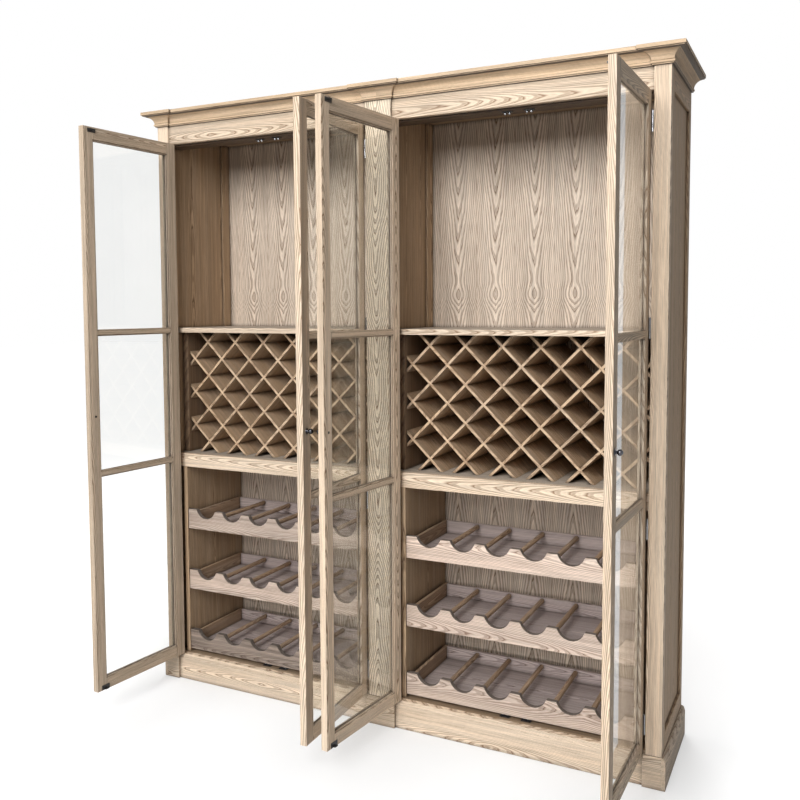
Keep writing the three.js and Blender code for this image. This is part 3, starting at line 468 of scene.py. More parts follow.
# %% Smudge group and hard finishes
smudges, t, given, result = new_group(
    "smudges",
    [("Scale", FLOAT, 40.0), ("Low", FLOAT, 0.1), ("High", FLOAT, 0.2)],
    [("Roughness", FLOAT), ("Mask", FLOAT)],
)
mask = t.remap(t.noise(t.object_place(), given["Scale"]), 0.35, 0.7)
t.feed(result["Mask"], mask)
t.feed(result["Roughness"], t.remap(mask, 0.0, 1.0, given["Low"], given["High"]))


def hard(name, colour, worn, low, high, scale, **plain):
    """A hard finish with smudges that run from a low to a high roughness.

    plain sets other inputs of the surface, such as Metallic.
    """
    material, tree, surface = new_material(name)
    marks = tree.group(smudges, Scale=scale, Low=low, High=high)
    tree.feed(surface["Base Color"], tree.mix(marks["Mask"], linear(*colour), linear(*worn)))
    tree.feed(surface["Roughness"], marks["Roughness"])
    for label, value in plain.items():
        tree.feed(surface[label.replace("_", " ")], value)
    return material


CHROME = hard("polished_chrome", (186, 188, 192), (150, 152, 156), 0.08, 0.2, 60.0, Metallic=1.0)
# Painted reflection: the knobs' chrome is darkened, standing in for a dark room it would mirror.
CHROME_PAINTED_DARK_REFLECTION = hard("chrome_painted_dark_reflection", (92, 92, 96), (62, 62, 66), 0.05, 0.14, 60.0, Metallic=1.0)
BLACK_STEEL = hard("black_steel", (30, 30, 33), (52, 52, 56), 0.32, 0.5, 30.0, Metallic=0.6)
DAMPER_BLUE = hard(
    "damper_blue", (10, 26, 158), (16, 36, 186), 0.45, 0.6, 25.0, Specular_IOR_Level=0.15,
)
CATCH_BLACK = hard("catch_black", (26, 24, 24), (44, 42, 42), 0.3, 0.5, 80.0)
GLASS = hard(
    "clear_glass", (249, 250, 249), (247, 248, 247), 0.0, 0.015, 6.0,
    Transmission_Weight=1.0, IOR=1.45, Specular_IOR_Level=0.12,
)
print("hard finishes:", CHROME.name, BLACK_STEEL.name, DAMPER_BLUE.name, GLASS.name)

# %% [markdown]
# ## Cutting boards out of the solids
# A joiner's frame is made of stiles, rails and muntins, and the eye reads the seams and the
# change of grain at every joint. The solids are already the right size, so each one is copied
# and cut with planes into its boards. Each board gets softened edges and its own grain.
# A bevel modifier would also soften edges, but it can't turn the grain from board to board.

# %% Cutting tools
AXIS = {"x": Vector((1, 0, 0)), "y": Vector((0, 1, 0)), "z": Vector((0, 0, 1))}
SIDES = (("left", -1), ("right", 1))
SAME_POINT, ON_CUT, IN_PLANE = 2e-6, 1e-6, 4e-6
FLAT, SHARP = math.radians(0.6), math.radians(28)


def read_solid(node, turn=None):
    """A copy of a solid's mesh, turned if a door has to be closed first."""
    bm = bmesh.new()
    bm.from_mesh(frame["nodes"][node].data)
    if turn is not None:
        bm.transform(turn)
    bmesh.ops.remove_doubles(bm, verts=bm.verts, dist=SAME_POINT)
    return bm


def keep_side(bm, point, normal):
    """Cuts away what lies in front of a plane and closes the cut."""
    parts = bm.verts[:] + bm.edges[:] + bm.faces[:]
    bmesh.ops.bisect_plane(
        bm, geom=parts, plane_co=point, plane_no=normal, clear_outer=True, dist=ON_CUT,
    )
    across_cut = [
        face for face in bm.faces
        if face.normal.dot(normal) < -0.99
        and all(abs((vertex.co - point).dot(normal)) < IN_PLANE for vertex in face.verts)
    ]
    bmesh.ops.delete(bm, geom=across_cut, context="FACES")
    rim = [edge for edge in bm.edges if edge.is_boundary]
    if rim:
        bmesh.ops.holes_fill(bm, edges=rim, sides=0)


def round_edges(bm, edges, width, segments=2, **shape):
    bmesh.ops.bevel(
        bm, geom=edges, offset=width, segments=segments, affect="EDGES", clamp_overlap=True,
        **shape,
    )


def sharp_edges(bm, angle):
    return [e for e in bm.edges if len(e.link_faces) == 2 and e.calc_face_angle(0) > angle]


def soften(bm, width):
    """Merges flat faces and rounds the sharp edges."""
    bmesh.ops.dissolve_limit(bm, angle_limit=FLAT, verts=bm.verts[:], edges=bm.edges[:])
    sharp = sharp_edges(bm, SHARP)
    if sharp:
        round_edges(bm, sharp, width, profile=0.6)


print("cutting tools ready")

# %% [markdown]
# ## Grain that follows each board
# Each board is cut from its own place in a log, so it gets a random shift, seeded with the
# piece's name to be the same each time. Three attributes go with it: the grain place on the
# points, a drift of lightness on the points that on some boards also carries painted light and
# shade, and a mark on the faces for extra stain, which on the cornice is painted shade. They
# could be painted by hand, but written here they follow every change of the boards. A piece made
# of boards is one mesh, and it rides on the body that it moves with.

# %% Board marks
SOFT_EDGE = 0.0007
TONE_DRIFT = 0.07
LOG_LENGTH, LOG_ASIDE, LOG_DEPTH = (0, 40), (-0.05, 0.05), (-0.008, 0.012)


def mark(bm, along, across, chance, tone=0.0, stain=None, heart=None):
    """Writes each point's place in the board's own piece of log."""
    low = Vector([min(v.co[i] for v in bm.verts) for i in range(3)])
    high = Vector([max(v.co[i] for v in bm.verts) for i in range(3)])
    middle = (low + high) / 2
    length, width = AXIS[along], AXIS[across]
    depth = length.cross(width)
    shift = Vector([chance.uniform(*limits) for limits in (LOG_LENGTH, LOG_ASIDE, LOG_DEPTH)])
    if heart is not None:
        shift.y = heart
    grain = bm.verts.layers.float_vector.new("grain")
    # The tone and the face mark hold real tone and stain, and on some boards painted light and
    # shade.
    lightness = bm.verts.layers.float.new("tone")
    stain_and_shade_layer = bm.faces.layers.float.new("stain")
    drift = tone + chance.uniform(-TONE_DRIFT, TONE_DRIFT)
    for vertex in bm.verts:
        place = vertex.co - middle
        vertex[grain] = Vector((place.dot(length), place.dot(width), place.dot(depth))) + shift
        vertex[lightness] = drift
    for face in bm.faces:
        face[stain_and_shade_layer] = stain(face) if stain else 0.0


def gather(whole, bm, mesh):
    """Adds one board to the piece, by way of a mesh that is empty again afterwards."""
    bm.to_mesh(mesh)
    bm.free()
    whole.from_mesh(mesh)
    mesh.clear_geometry()


def add_piece(name, bm, mesh, material, body):
    """Makes an object of the piece, to ride on a body."""
    bm.to_mesh(mesh)
    bm.free()
    mesh.materials.append(material)
    piece = bpy.data.objects.new(name, mesh)
    bpy.context.scene.collection.objects.link(piece)
    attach(piece, body)
    return piece


print("board marks: grain, tone and stain, tone drifts by", TONE_DRIFT)


# %% Boards of one solid
def cut(grain, **limits):
    """One board of a solid. grain names the axes along and across it, such as "xz".

    x, y and z are (low, high) limits with None for open, and planes lists further
    (point, normal) cuts. soft, heart, and the tone and the stain mark are the board's own
    values; on some boards the tone and the stain mark carry painted light and shade.
    """
    return {"along": grain[0], "across": grain[1], **limits}


def split_at(letter, places, grain, **common):
    """Boards between successive places along one axis."""
    edges = [None, *places, None]
    return [cut(grain, **{letter: pair}, **common) for pair in zip(edges, edges[1:])]


def beyond(place, hand):
    """Limits that keep what lies past a place, on the side that hand (-1 or 1) points to."""
    return (place, None) if hand > 0 else (None, place)


def boards(name, node, cuts, material, body="cabinet",
           turn=None, soft=SOFT_EDGE, hides=True):
    """Cuts one solid into boards and joins them as one piece."""
    chance = random.Random(name)
    whole = bmesh.new()
    mesh = bpy.data.meshes.new(name)
    for board in cuts:
        bm = read_solid(node, turn)
        for letter in "xyz":
            low, high = board.get(letter, (None, None))
            if low is not None:
                keep_side(bm, AXIS[letter] * low, -AXIS[letter])
            if high is not None:
                keep_side(bm, AXIS[letter] * high, AXIS[letter])
        for point, normal in board.get("planes", ()):
            keep_side(bm, Vector(point), Vector(normal).normalized())
        soften(bm, board.get("soft", soft))
        own = {key: board[key] for key in ("tone", "stain", "heart") if key in board}
        mark(bm, board["along"], board["across"], chance, **own)
        gather(whole, bm, mesh)
    if turn is not None:
        whole.transform(turn.inverted())
    piece = add_piece(name, whole, mesh, material, body)
    if hides:
        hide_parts(node)
    return piece


print("board tools ready, soft edge", SOFT_EDGE)

# %% [markdown]
# ## Sizes read from the solids
# Every later cut is named after a board of the cabinet and read from the solids, so the scene
# follows them if they change.

# %% Shared sizes
def low_high(node, letter):
    low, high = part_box(node)
    index = "xyz".index(letter)
    return low[index], high[index]


CARCASS_HALF = low_high("pilaster_right", "x")[1]
BAY_INNER, BAY_OUTER = low_high("frieze_right", "x")
CARCASS_FRONT = low_high("pilaster_right", "y")[1]
DOOR_RECESS = low_high("frieze_right", "y")[0]
PLINTH_TOP = low_high("plinth_front", "z")[1]
BACK_FACE, BACK_REAR = low_high("back_panel_right", "y")
FRIEZE_BOTTOM = low_high("frieze_right", "z")[0]
print("half width", CARCASS_HALF, "bay", BAY_INNER, BAY_OUTER, "front", CARCASS_FRONT)

# %% [markdown]
# ## Plinth
# The plinth is a moulded skirting board on the front and both sides. It steps forward at the
# three pilasters, where the real one is pieced together, so the front is cut into five lengths
# at the steps. One long board would be simpler, but its grain would run through the steps.

# %% Plinth
PLINTH_OUT = -low_high("plinth_front", "y")[0]
step_outer = BAY_OUTER - PLINTH_OUT
step_inner = BAY_INNER + PLINTH_OUT
boards(
    "plinth_front_boards", "plinth_front",
    [
        cut("xz", x=(-CARCASS_HALF, -step_outer)),
        cut("xz", x=(-step_outer, -step_inner), tone=-0.04),
        cut("xz", x=(-step_inner, step_inner)),
        cut("xz", x=(step_inner, step_outer), tone=-0.04),
        cut("xz", x=(step_outer, CARCASS_HALF)),
    ],
    OAK,
)
for side, _ in SIDES:
    boards(f"plinth_side_{side}_board", f"plinth_side_{side}", [cut("yz")], OAK)
print("plinth steps at", round(step_inner, 4), round(step_outer, 4))

# %% [markdown]
# ## Cornice
# The cornice is a cove with a fillet and a bead. It runs round three sides, breaks forward at
# the pilasters, and is mitred at every corner, so its lengths end at planes of 45 degrees. A
# profile swept along the path would give the same shape, but no seams at the mitres. A plain
# frame stands behind the moulding. The narrow faces that look down get painted shade in the
# grey stain colour, which draws the moulding's lines.

# %% Cornice
MOULDING = 0.02
RING_INNER = 0.06
RING_TONE = -0.15
LOOKS_DOWN, UNDER_SHADE = -0.93, 0.9
half, inside = CARCASS_HALF, CARCASS_HALF - MOULDING


# Painted shade: faces that look down get the grey stain colour, which darkens them as shade
# would.
def painted_under_shade(face):
    return UNDER_SHADE if face.normal.z < LOOKS_DOWN else 0.0


def mitre(x, across):
    """A plane of 45 degrees through a corner in the carcass front."""
    return (x, 0, 0), (across, -1, 0)


def flipped(plane):
    return plane[0], tuple(-value for value in plane[1])


common = {"heart": 0.07, "stain": painted_under_shade}
front = {"y": (None, MOULDING), **common}
lengths = []
for hand in (-1, 1):
    corner = flipped(mitre(hand * half, -hand))
    outer_break = mitre(hand * BAY_OUTER, hand)
    outer_return = mitre(hand * (BAY_OUTER - DOOR_RECESS), hand)
    inner_break = mitre(hand * BAY_INNER, -hand)
    inner_return = mitre(hand * (BAY_INNER + DOOR_RECESS), -hand)
    centre = ((0, 0, 0), (-hand, 0, 0))
    side_inside = ((hand * inside, 0, 0), (-hand, 0, 0))
    lengths += [
        cut("xz", **front, planes=[corner, flipped(outer_break)]),
        cut("yz", **front, planes=[outer_break, flipped(outer_return)]),
        cut("xz", **front, planes=[outer_return, inner_return]),
        cut("yz", **front, planes=[flipped(inner_return), inner_break]),
        cut("xz", **front, planes=[flipped(inner_break), centre]),
        cut("yz", **common, planes=[flipped(corner), side_inside]),
    ]
lengths += [
    cut("xy", x=(-inside, inside), y=(MOULDING, RING_INNER), tone=RING_TONE),
    cut("xy", x=(-inside, inside), y=(BACK_REAR - RING_INNER, None), tone=RING_TONE),
]
for hand in (-1, 1):
    across_ring = tuple(sorted((hand * (half - RING_INNER), hand * inside)))
    between = (RING_INNER, BACK_REAR - RING_INNER)
    lengths.append(cut("yx", x=across_ring, y=between, tone=RING_TONE))
cornice = boards("cornice_mouldings", "cornice", lengths, OAK_WARM, soft=0.0005)
print("cornice lengths", len(lengths), "faces", len(cornice.data.polygons))

# %% [markdown]
# ## Front of the carcass
# Three pilasters stand between and beside the doors, and a frieze board runs over each pair.
# Each is one board, so it only needs its grain turned the right way. The wide middle pilaster
# shows the boldest arches of the cabinet, and so it has a finish from a log of its own. The
# pilasters get a raised tone, which is painted light. The stop rails behind the friezes lie in
# shade, and get painted shade: a dark finish and a much lower tone.

# %% Pilasters, friezes and stop rails
# Painted light: the raised tone of each pilaster brightens it.
boards("pilaster_left_board", "pilaster_left", [
    cut("zx", x=(-CARCASS_HALF, -BAY_OUTER), tone=0.26, heart=0.03),
], OAK)
boards("pilaster_centre_board", "pilaster_centre", [
    cut("zx", x=(-BAY_INNER, BAY_INNER), tone=0.16, heart=0.012),
], OAK_FIGURED)
boards("pilaster_right_board", "pilaster_right", [
    cut("zx", x=(BAY_OUTER, CARCASS_HALF), tone=0.26, heart=0.03),
], OAK)
for side, _ in SIDES:
    boards(f"frieze_{side}_board", f"frieze_{side}", [cut("xz", heart=0.012, tone=-0.04)], OAK)
    # Painted shade: the stop rails lie in shade under the friezes, so they get a dark finish and
    # a much lower tone.
    boards(
        f"stop_rail_{side}_board", f"stop_rail_{side}", [cut("xy", tone=-0.55)],
        OAK_DARK,
    )
print("front boards done")

# %% [markdown]
# ## Side frames and panels
# Each side is a frame with a sunk panel. The stiles run the full height with the rails between
# them, and the panel, three boards glued edge to edge, stands in a groove all round. The frame
# is cut where the panel's tongues end, because that is the inner edge of its stiles and rails.

# %% Side frames and panels
TONGUE = 0.008
for side, _ in SIDES:
    panel_low, panel_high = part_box(f"side_panel_{side}")
    front_stile, rear_stile = panel_low.y + TONGUE, panel_high.y - TONGUE
    between = (front_stile, rear_stile)
    boards(
        f"side_frame_{side}_boards", f"side_frame_{side}",
        [
            cut("zy", y=(None, front_stile)),
            cut("zy", y=(rear_stile, None)),
            cut("yz", y=between, z=(panel_high.z - TONGUE, None)),
            cut("yz", y=between, z=(None, panel_low.z + TONGUE)),
        ],
        OAK_SIDE_SHADED,
    )
    third = (panel_high.y - panel_low.y) / 3
    seams = [panel_low.y + third, panel_low.y + 2 * third]
    boards(
        f"side_panel_{side}_boards", f"side_panel_{side}",
        split_at("y", seams, "zy", soft=0.0002), OAK_SIDE_SHADED,
    )
print("side frame stiles end at", round(front_stile, 4), round(rear_stile, 4))

# %% [markdown]
# ## Linings and inner boards
# Inside, each bay is lined with two boards glued edge to edge, with a thin batten in the rear
# corner. Linings and batten are one solid, so a cut in the plane of the lining's face parts
# them. The partition between the bays is built the same way on both of its faces.

# %% Linings, partition and carcass boards
BOARD_JOINT = 0.256
LINING = 0.016
REAR_TONE, BATTEN_TONE = -0.06, 0.08
for side, hand in SIDES:
    low, high = low_high(f"side_lining_{side}", "x")
    wall = high - LINING if hand > 0 else low + LINING
    boards(
        f"side_lining_{side}_boards", f"side_lining_{side}",
        [
            cut("zy", x=beyond(wall, hand), y=(None, BOARD_JOINT)),
            cut("zy", x=beyond(wall, hand), y=(BOARD_JOINT, None), tone=REAR_TONE),
            cut("zy", x=beyond(wall, -hand), tone=BATTEN_TONE),
        ],
        OAK_INSIDE,
    )
wall = low_high("mid_shelf_right", "x")[0]
boards(
    "centre_partition_boards", "centre_partition",
    [
        cut("zy", x=(-wall, wall), y=(None, BOARD_JOINT)),
        cut("zy", x=(-wall, wall), y=(BOARD_JOINT, None), tone=REAR_TONE),
        cut("zy", x=(None, -wall), tone=BATTEN_TONE),
        cut("zy", x=(wall, None), tone=BATTEN_TONE),
    ],
    OAK_INSIDE,
)
for name in ("bottom_board", "top_board"):
    boards(
        f"{name}_boards", name, split_at("x", [0.0], "xy", tone=-0.1),
        OAK_INSIDE,
    )
print("walls at", round(wall, 4))

# %% [markdown]
# ## Shelves and back panels
# A shelf is a greyish board with a better strip of oak glued to its front edge: a thin lipping
# on the upper shelf, a deep rail on the lower one. One finish for the whole solid would let the
# top's grain end at the front edge, which a real shelf hides. The back panels are whole sheets
# of veneer, so their solids are used as they are.

# %% Shelves and back panels
LIP = CARCASS_FRONT + 0.006
RAIL_BACK = CARCASS_FRONT + 0.022
for side, _ in SIDES:
    for shelf, strip, edge, own in (
        ("mid_shelf", "lipping", LIP, {}),
        ("lower_shelf", "rail", RAIL_BACK, {"heart": -0.008}),
    ):
        node = f"{shelf}_{side}"
        boards(
            f"{node}_{strip}", node, [cut("xz", y=(None, edge), **own)],
            OAK, hides=False,
        )
        boards(f"{node}_board", node, [cut("xy", y=(edge, None))], OAK_GREY)
    back = frame["nodes"][f"back_panel_{side}"]
    back.data.materials.clear()
    back.data.materials.append(VENEERS[side])
print("shelves and backs done")

# %% [markdown]
# ## Lattice rack
# The rack is made of thin slats at 45 degrees, halved into each other. In the solid they are one
# body, so here each slat is built again as its own board, cut off level at the shelves and
# upright at the cheeks, with its grain running along it. One set lies a hair behind the other,
# because two faces in the very same plane would flicker.

# %% Slats
SLAT = 0.0095
PITCH = 0.1422
SLATS_EACH_WAY = 9
FIRST_SLAT = -6
SLAT_LENGTH = 3.0
HAIR = 0.0004
CROSSING_BELOW_SHELF = 0.0417


def slanted(name, side, hand):
    """One rack, built of slats that lean both ways and are trimmed to its box."""
    low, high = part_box(f"lattice_{side}")
    centre_x = hand * (BAY_INNER + BAY_OUTER) / 2
    top_crossing = low_high(f"mid_shelf_{side}", "z")[0] - CROSSING_BELOW_SHELF
    chance = random.Random(name)
    whole = bmesh.new()
    mesh = bpy.data.meshes.new(name)
    for lean in (1, -1):
        for index in range(FIRST_SLAT, FIRST_SLAT + SLATS_EACH_WAY):
            bm = bmesh.new()
            bmesh.ops.create_cube(bm, size=1.0)
            front = low.y + (HAIR if lean < 0 else 0.0)
            depth = high.y - front
            bm.transform(Matrix.Diagonal((SLAT_LENGTH, depth, SLAT, 1.0)))
            mark(bm, "x", "y", chance)
            bm.transform(Matrix.Rotation(lean * math.pi / 4, 4, "Y"))
            bm.transform(Matrix.Translation((
                centre_x + lean * (index + 0.5) * PITCH, front + depth / 2, top_crossing,
            )))
            for letter in "xz":
                keep_side(bm, low, -AXIS[letter])
                keep_side(bm, high, AXIS[letter])
            round_edges(bm, sharp_edges(bm, 0.5), 0.0006, segments=1)
            gather(whole, bm, mesh)
    piece = add_piece(name, whole, mesh, OAK_SLAT, "cabinet")
    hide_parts(f"lattice_{side}")
    return piece


for side, hand in SIDES:
    rack = slanted(f"lattice_{side}_slats", side, hand)
    for place in ("inner", "outer"):
        node = f"lattice_cheek_{side}_{place}"
        boards(f"{node}_board", node, [cut("zy")], OAK_DARK)
print("slats in one rack:", 2 * SLATS_EACH_WAY, "faces", len(rack.data.polygons))

# %% [markdown]
# ## Runner panels and drawer slides
# Packer panels bring the slides inboard, so the trays clear the open doors. Each panel carries
# three black channels, and a blue damper sits at the rear of each. The channels are cut out of
# the same solid as the panel, by the planes of the panel's face.

# %% Runner panels
RUNNER_INSET = 0.036
PANEL = 0.018
PANEL_LIP = 0.043
WEB = 0.0024
LIPS = ((0.0, 0.0115), (0.0505, 0.06))
DAMPER_HEIGHT = (0.0116, 0.0504)
DAMPER_GAP, DAMPER_LENGTH = 0.006, 0.13
DAMPER_FRONT = BACK_FACE - DAMPER_GAP - DAMPER_LENGTH
TRAY_PLACES = ("bottom", "middle", "top")
TRAY_LEVELS = [low_high(f"tray_box_right_{place}", "z")[0] for place in TRAY_PLACES]
rear_zone = {"y": (DAMPER_FRONT, None)}


def above(level, limits):
    """Limits given from a level, as heights."""
    return level + limits[0], level + limits[1]


for side, hand in SIDES:
    for place, face, inward in (
        ("inner", hand * (BAY_INNER + RUNNER_INSET), hand),
        ("outer", hand * (BAY_OUTER - RUNNER_INSET), -hand),
    ):
        node = f"runner_panel_{side}_{place}"
        rear = face - inward * PANEL
        web = face + inward * WEB
        panel = tuple(sorted((face, rear)))
        boards(
            f"{node}_boards", node,
            [
                cut("zx", x=panel, y=(None, PANEL_LIP), tone=0.12),
                cut("zy", x=panel, y=(PANEL_LIP, None)),
                cut("zy", x=beyond(rear, -inward), tone=-0.1),
            ],
            OAK_INSIDE,
        )
        boards(
            f"slide_channels_{side}_{place}", node,
            [
                cut("yz", x=beyond(face, inward), y=(None, DAMPER_FRONT)),
                cut("yz", x=beyond(web, -inward), planes=[((face, 0, 0), (-inward, 0, 0))],
                    **rear_zone),
            ] + [
                cut("yz", x=beyond(web, inward), z=above(level, lip), **rear_zone)
                for level in TRAY_LEVELS for lip in LIPS
            ],
            BLACK_STEEL, soft=0.0003, hides=False,
        )
        boards(
            f"slide_dampers_{side}_{place}", node,
            [
                cut("yz", x=beyond(web, inward), z=above(level, DAMPER_HEIGHT), **rear_zone)
                for level in TRAY_LEVELS
            ],
            DAMPER_BLUE, soft=0.0008, hides=False,
        )
print("slides on", [round(level, 3) for level in TRAY_LEVELS])

# %% [markdown]
# ## Bottle trays
# A tray has a scalloped front board that cradles six necks or bases, a shallow box behind it and
# five dowels that keep the bottles apart. The cut edges of the scallops soaked up more stain and
# are darker, so faces that don't look forward or back get a share of the stain colour. The
# dowels and sides are browner than the grey base. Every front has its own tone, partly because
# on the real cabinet each is cut from another board, and partly as painted shade: the left and
# lowest trays, which lie in shade, are darkened most.

# %% Trays
# Tone of each tray front, partly the board's own and partly painted shade: the left and lowest
# trays, which lie in shade, are darkest.
TRAY_TONES_AND_SHADE = {
    "left_top": -0.22, "left_middle": -0.1, "left_bottom": -0.5,
    "right_middle": -0.08, "right_bottom": -0.2,
}
SLIDE_MEMBER, TRAY_WALL = 0.0053, 0.013
BASE_CUT, DOWEL_CUT = 0.021, 0.04
DOWEL_PITCH, DOWEL_HALF = 0.1343, 0.0095
EDGE_STAIN, BOTTOM_STAIN = 0.85, 0.1


def scallop_stain(face):
    if abs(face.normal.y) > 0.9:
        return 0.0
    return EDGE_STAIN if face.normal.z > -0.5 else BOTTOM_STAIN


for side, _ in SIDES:
    for place in TRAY_PLACES:
        label = f"{side}_{place}"
        body = f"tray_{label}"
        node = f"tray_box_{label}"
        low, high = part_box(node)
        side_low, side_high = low.x + SLIDE_MEMBER, high.x - SLIDE_MEMBER
        inner_low, inner_high = side_low + TRAY_WALL, side_high - TRAY_WALL
        back_inner = high.y - TRAY_WALL
        middle_x = (low.x + high.x) / 2
        dowels = [middle_x + index * DOWEL_PITCH for index in range(-2, 3)]
        front = cut("xz", stain=scallop_stain, tone=TRAY_TONES_AND_SHADE.get(label, 0.0))
        boards(
            f"tray_front_{label}_board", f"tray_front_{label}", [front],
            OAK_TRAY, body, soft=0.0009,
        )
        within = (inner_low, inner_high)
        boards(
            f"tray_box_{label}_boards", node,
            [
                cut("xz", x=within, y=(back_inner, None), tone=0.16),
                cut("xy", x=within, y=(None, back_inner), z=(None, low.z + BASE_CUT), tone=-0.04),
            ],
            OAK_TRAY_BOX, body, soft=0.0006,
        )
        boards(
            f"tray_sides_{label}", node,
            [
                cut("yz", x=(side_low, inner_low)),
                cut("yz", x=(inner_high, side_high)),
            ] + [
                cut("yx", x=(x - DOWEL_HALF, x + DOWEL_HALF), y=(None, back_inner),
                    z=(low.z + DOWEL_CUT, None), tone=0.05)
                for x in dowels
            ],
            OAK_DOWEL, body, soft=0.0006, hides=False,
        )
        boards(
            f"tray_slides_{label}", node,
            [cut("yz", x=(None, side_low)), cut("yz", x=(side_high, None))],
            BLACK_STEEL, body, soft=0.0004, hides=False,
        )
print("trays done, dowels at", [round(x, 3) for x in dowels])

# %% [markdown]
# ## Doors
# Each door is a frame with two stiles, a top and a bottom rail and two muntins. The pane runs
# behind the muntins in one sheet. The solids stand open, so the door is first turned closed,
# where its stiles are upright and its rails level, then cut, and turned back. Turning the
# cutting planes would do as well, but level and upright cuts are easier to read.

# %% Door frames and panes
STILE, REBATE, MUNTIN_HALF = 0.048, 0.008, 0.02
DOOR_THICKNESS, DOOR_GAP = 0.024, 0.003
SLACK = 0.0001
MUNTINS_BELOW = (("mid_shelf", 0.01), ("lower_shelf", 0.016))
# Painted light and shade: the right outer door is lightened and the left outer door darkened, for
# the way the light falls on them.
DOOR_LIGHT_AND_SHADE = {"right_outer": 0.14, "left_outer": -0.16}


def hinge_joint(label):
    return next(j for j in frame["joints"] if j["name"] == f"door_{label}_hinge")


def closed_turn(label):
    """The turn that closes a door from where it rests, read from its joint."""
    joint = hinge_joint(label)
    turn = Matrix.Rotation(math.radians(joint["range_deg"][0]), 4, Vector(joint["axis"]))
    place = Matrix.Translation(Vector(joint["pos_m"]))
    return place @ turn @ place.inverted()


doors = {}
for side, _ in SIDES:
    for place in ("outer", "inner"):
        label = f"{side}_{place}"
        turn = closed_turn(label)
        bm = read_solid(f"door_glass_{label}", turn)
        xs = [v.co.x for v in bm.verts]
        zs = [v.co.z for v in bm.verts]
        bm.free()
        pane_x = (min(xs) + REBATE, max(xs) - REBATE)
        pane_z = (min(zs) + REBATE, max(zs) - REBATE)
        door_x = (pane_x[0] - STILE, pane_x[1] + STILE)
        door_z = (PLINTH_TOP + DOOR_GAP, FRIEZE_BOTTOM - DOOR_GAP)
        muntins = [low_high(f"{shelf}_{side}", "z")[1] - below for shelf, below in MUNTINS_BELOW]
        common = {"y": (DOOR_RECESS - SLACK, None), "tone": DOOR_LIGHT_AND_SHADE.get(label, 0.0)}
        members = [
            cut("zx", x=(door_x[0] - SLACK, pane_x[0]), **common),
            cut("zx", x=(pane_x[1], door_x[1] + SLACK), **common),
            cut("xz", x=pane_x, z=(pane_z[1], None), **common),
            cut("xz", x=pane_x, z=(None, pane_z[0]), **common),
        ] + [
            cut("xz", x=pane_x, z=(z - MUNTIN_HALF, z + MUNTIN_HALF), soft=0.0005, **common)
            for z in muntins
        ]
        boards(
            f"door_frame_{label}_boards", f"door_frame_{label}", members, OAK, f"door_{label}",
            turn=turn,
        )
        glass = frame["nodes"][f"door_glass_{label}"]
        glass.data.materials.clear()
        glass.data.materials.append(GLASS)
        doors[label] = {"turn": turn, "x": door_x, "z": door_z}
print("doors:", {label: [round(v, 4) for v in door["x"]] for label, door in doors.items()})

# %% [markdown]
# ## Small metal shapes
# Bright hinges, knobs and catches catch the light, so they are worth making properly, from round
# bars, plates with eased edges and balls. Modifiers could do the same, but every one of them
# would wait until the end, and these pieces are joined at once.

# %% Bars, plates and balls
SMOOTH_BELOW = math.radians(35)


def cylinder(bm, radius, start, end):
    """A closed round bar between two points."""
    start, end = Vector(start), Vector(end)
    direction = end - start
    turn = direction.to_track_quat("Z", "Y").to_matrix().to_4x4()
    bmesh.ops.create_cone(
        bm, cap_ends=True, segments=20, radius1=radius, radius2=radius,
        depth=direction.length, matrix=Matrix.Translation((start + end) / 2) @ turn,
    )


def plate(bm, low, high, soft=0.0003):
    """A thin plate with eased edges between two corners."""
    low, high = Vector(low), Vector(high)
    small, large = Vector(map(min, low, high)), Vector(map(max, low, high))
    size = Matrix.Diagonal((*(large - small), 1.0))
    matrix = Matrix.Translation((small + large) / 2) @ size
    made = bmesh.ops.create_cube(bm, size=1.0, matrix=matrix)
    edges = {edge for vertex in made["verts"] for edge in vertex.link_edges}
    round_edges(bm, list(edges), soft)


def ball(bm, radius, centre, segments=20):
    bmesh.ops.create_uvsphere(
        bm, u_segments=segments, v_segments=segments // 2, radius=radius,
        matrix=Matrix.Translation(Vector(centre)),
    )


def add_metal(name, bm, material, body, turn=None):
    """Shades a metal piece smoothly, and turns a door's piece open with it."""
    if turn is not None:
        bm.transform(turn.inverted())
    mesh = bpy.data.meshes.new(name)
    piece = add_piece(name, bm, mesh, material, body)
    for polygon in mesh.polygons:
        polygon.use_smooth = True
    mesh.set_sharp_from_angle(angle=SMOOTH_BELOW)
    return piece


print("metal tools ready")

# %% [markdown]
# ## Hinges
# A butt hinge is a barrel of three knuckles with a pin, and two leaves. The middle knuckle and
# one leaf belong to the door, the rest to the pilaster, and each half rides on its own body. A
# hinge in one piece would tear when the door moves. The door's half is made with the door
# closed and then turned open with it.

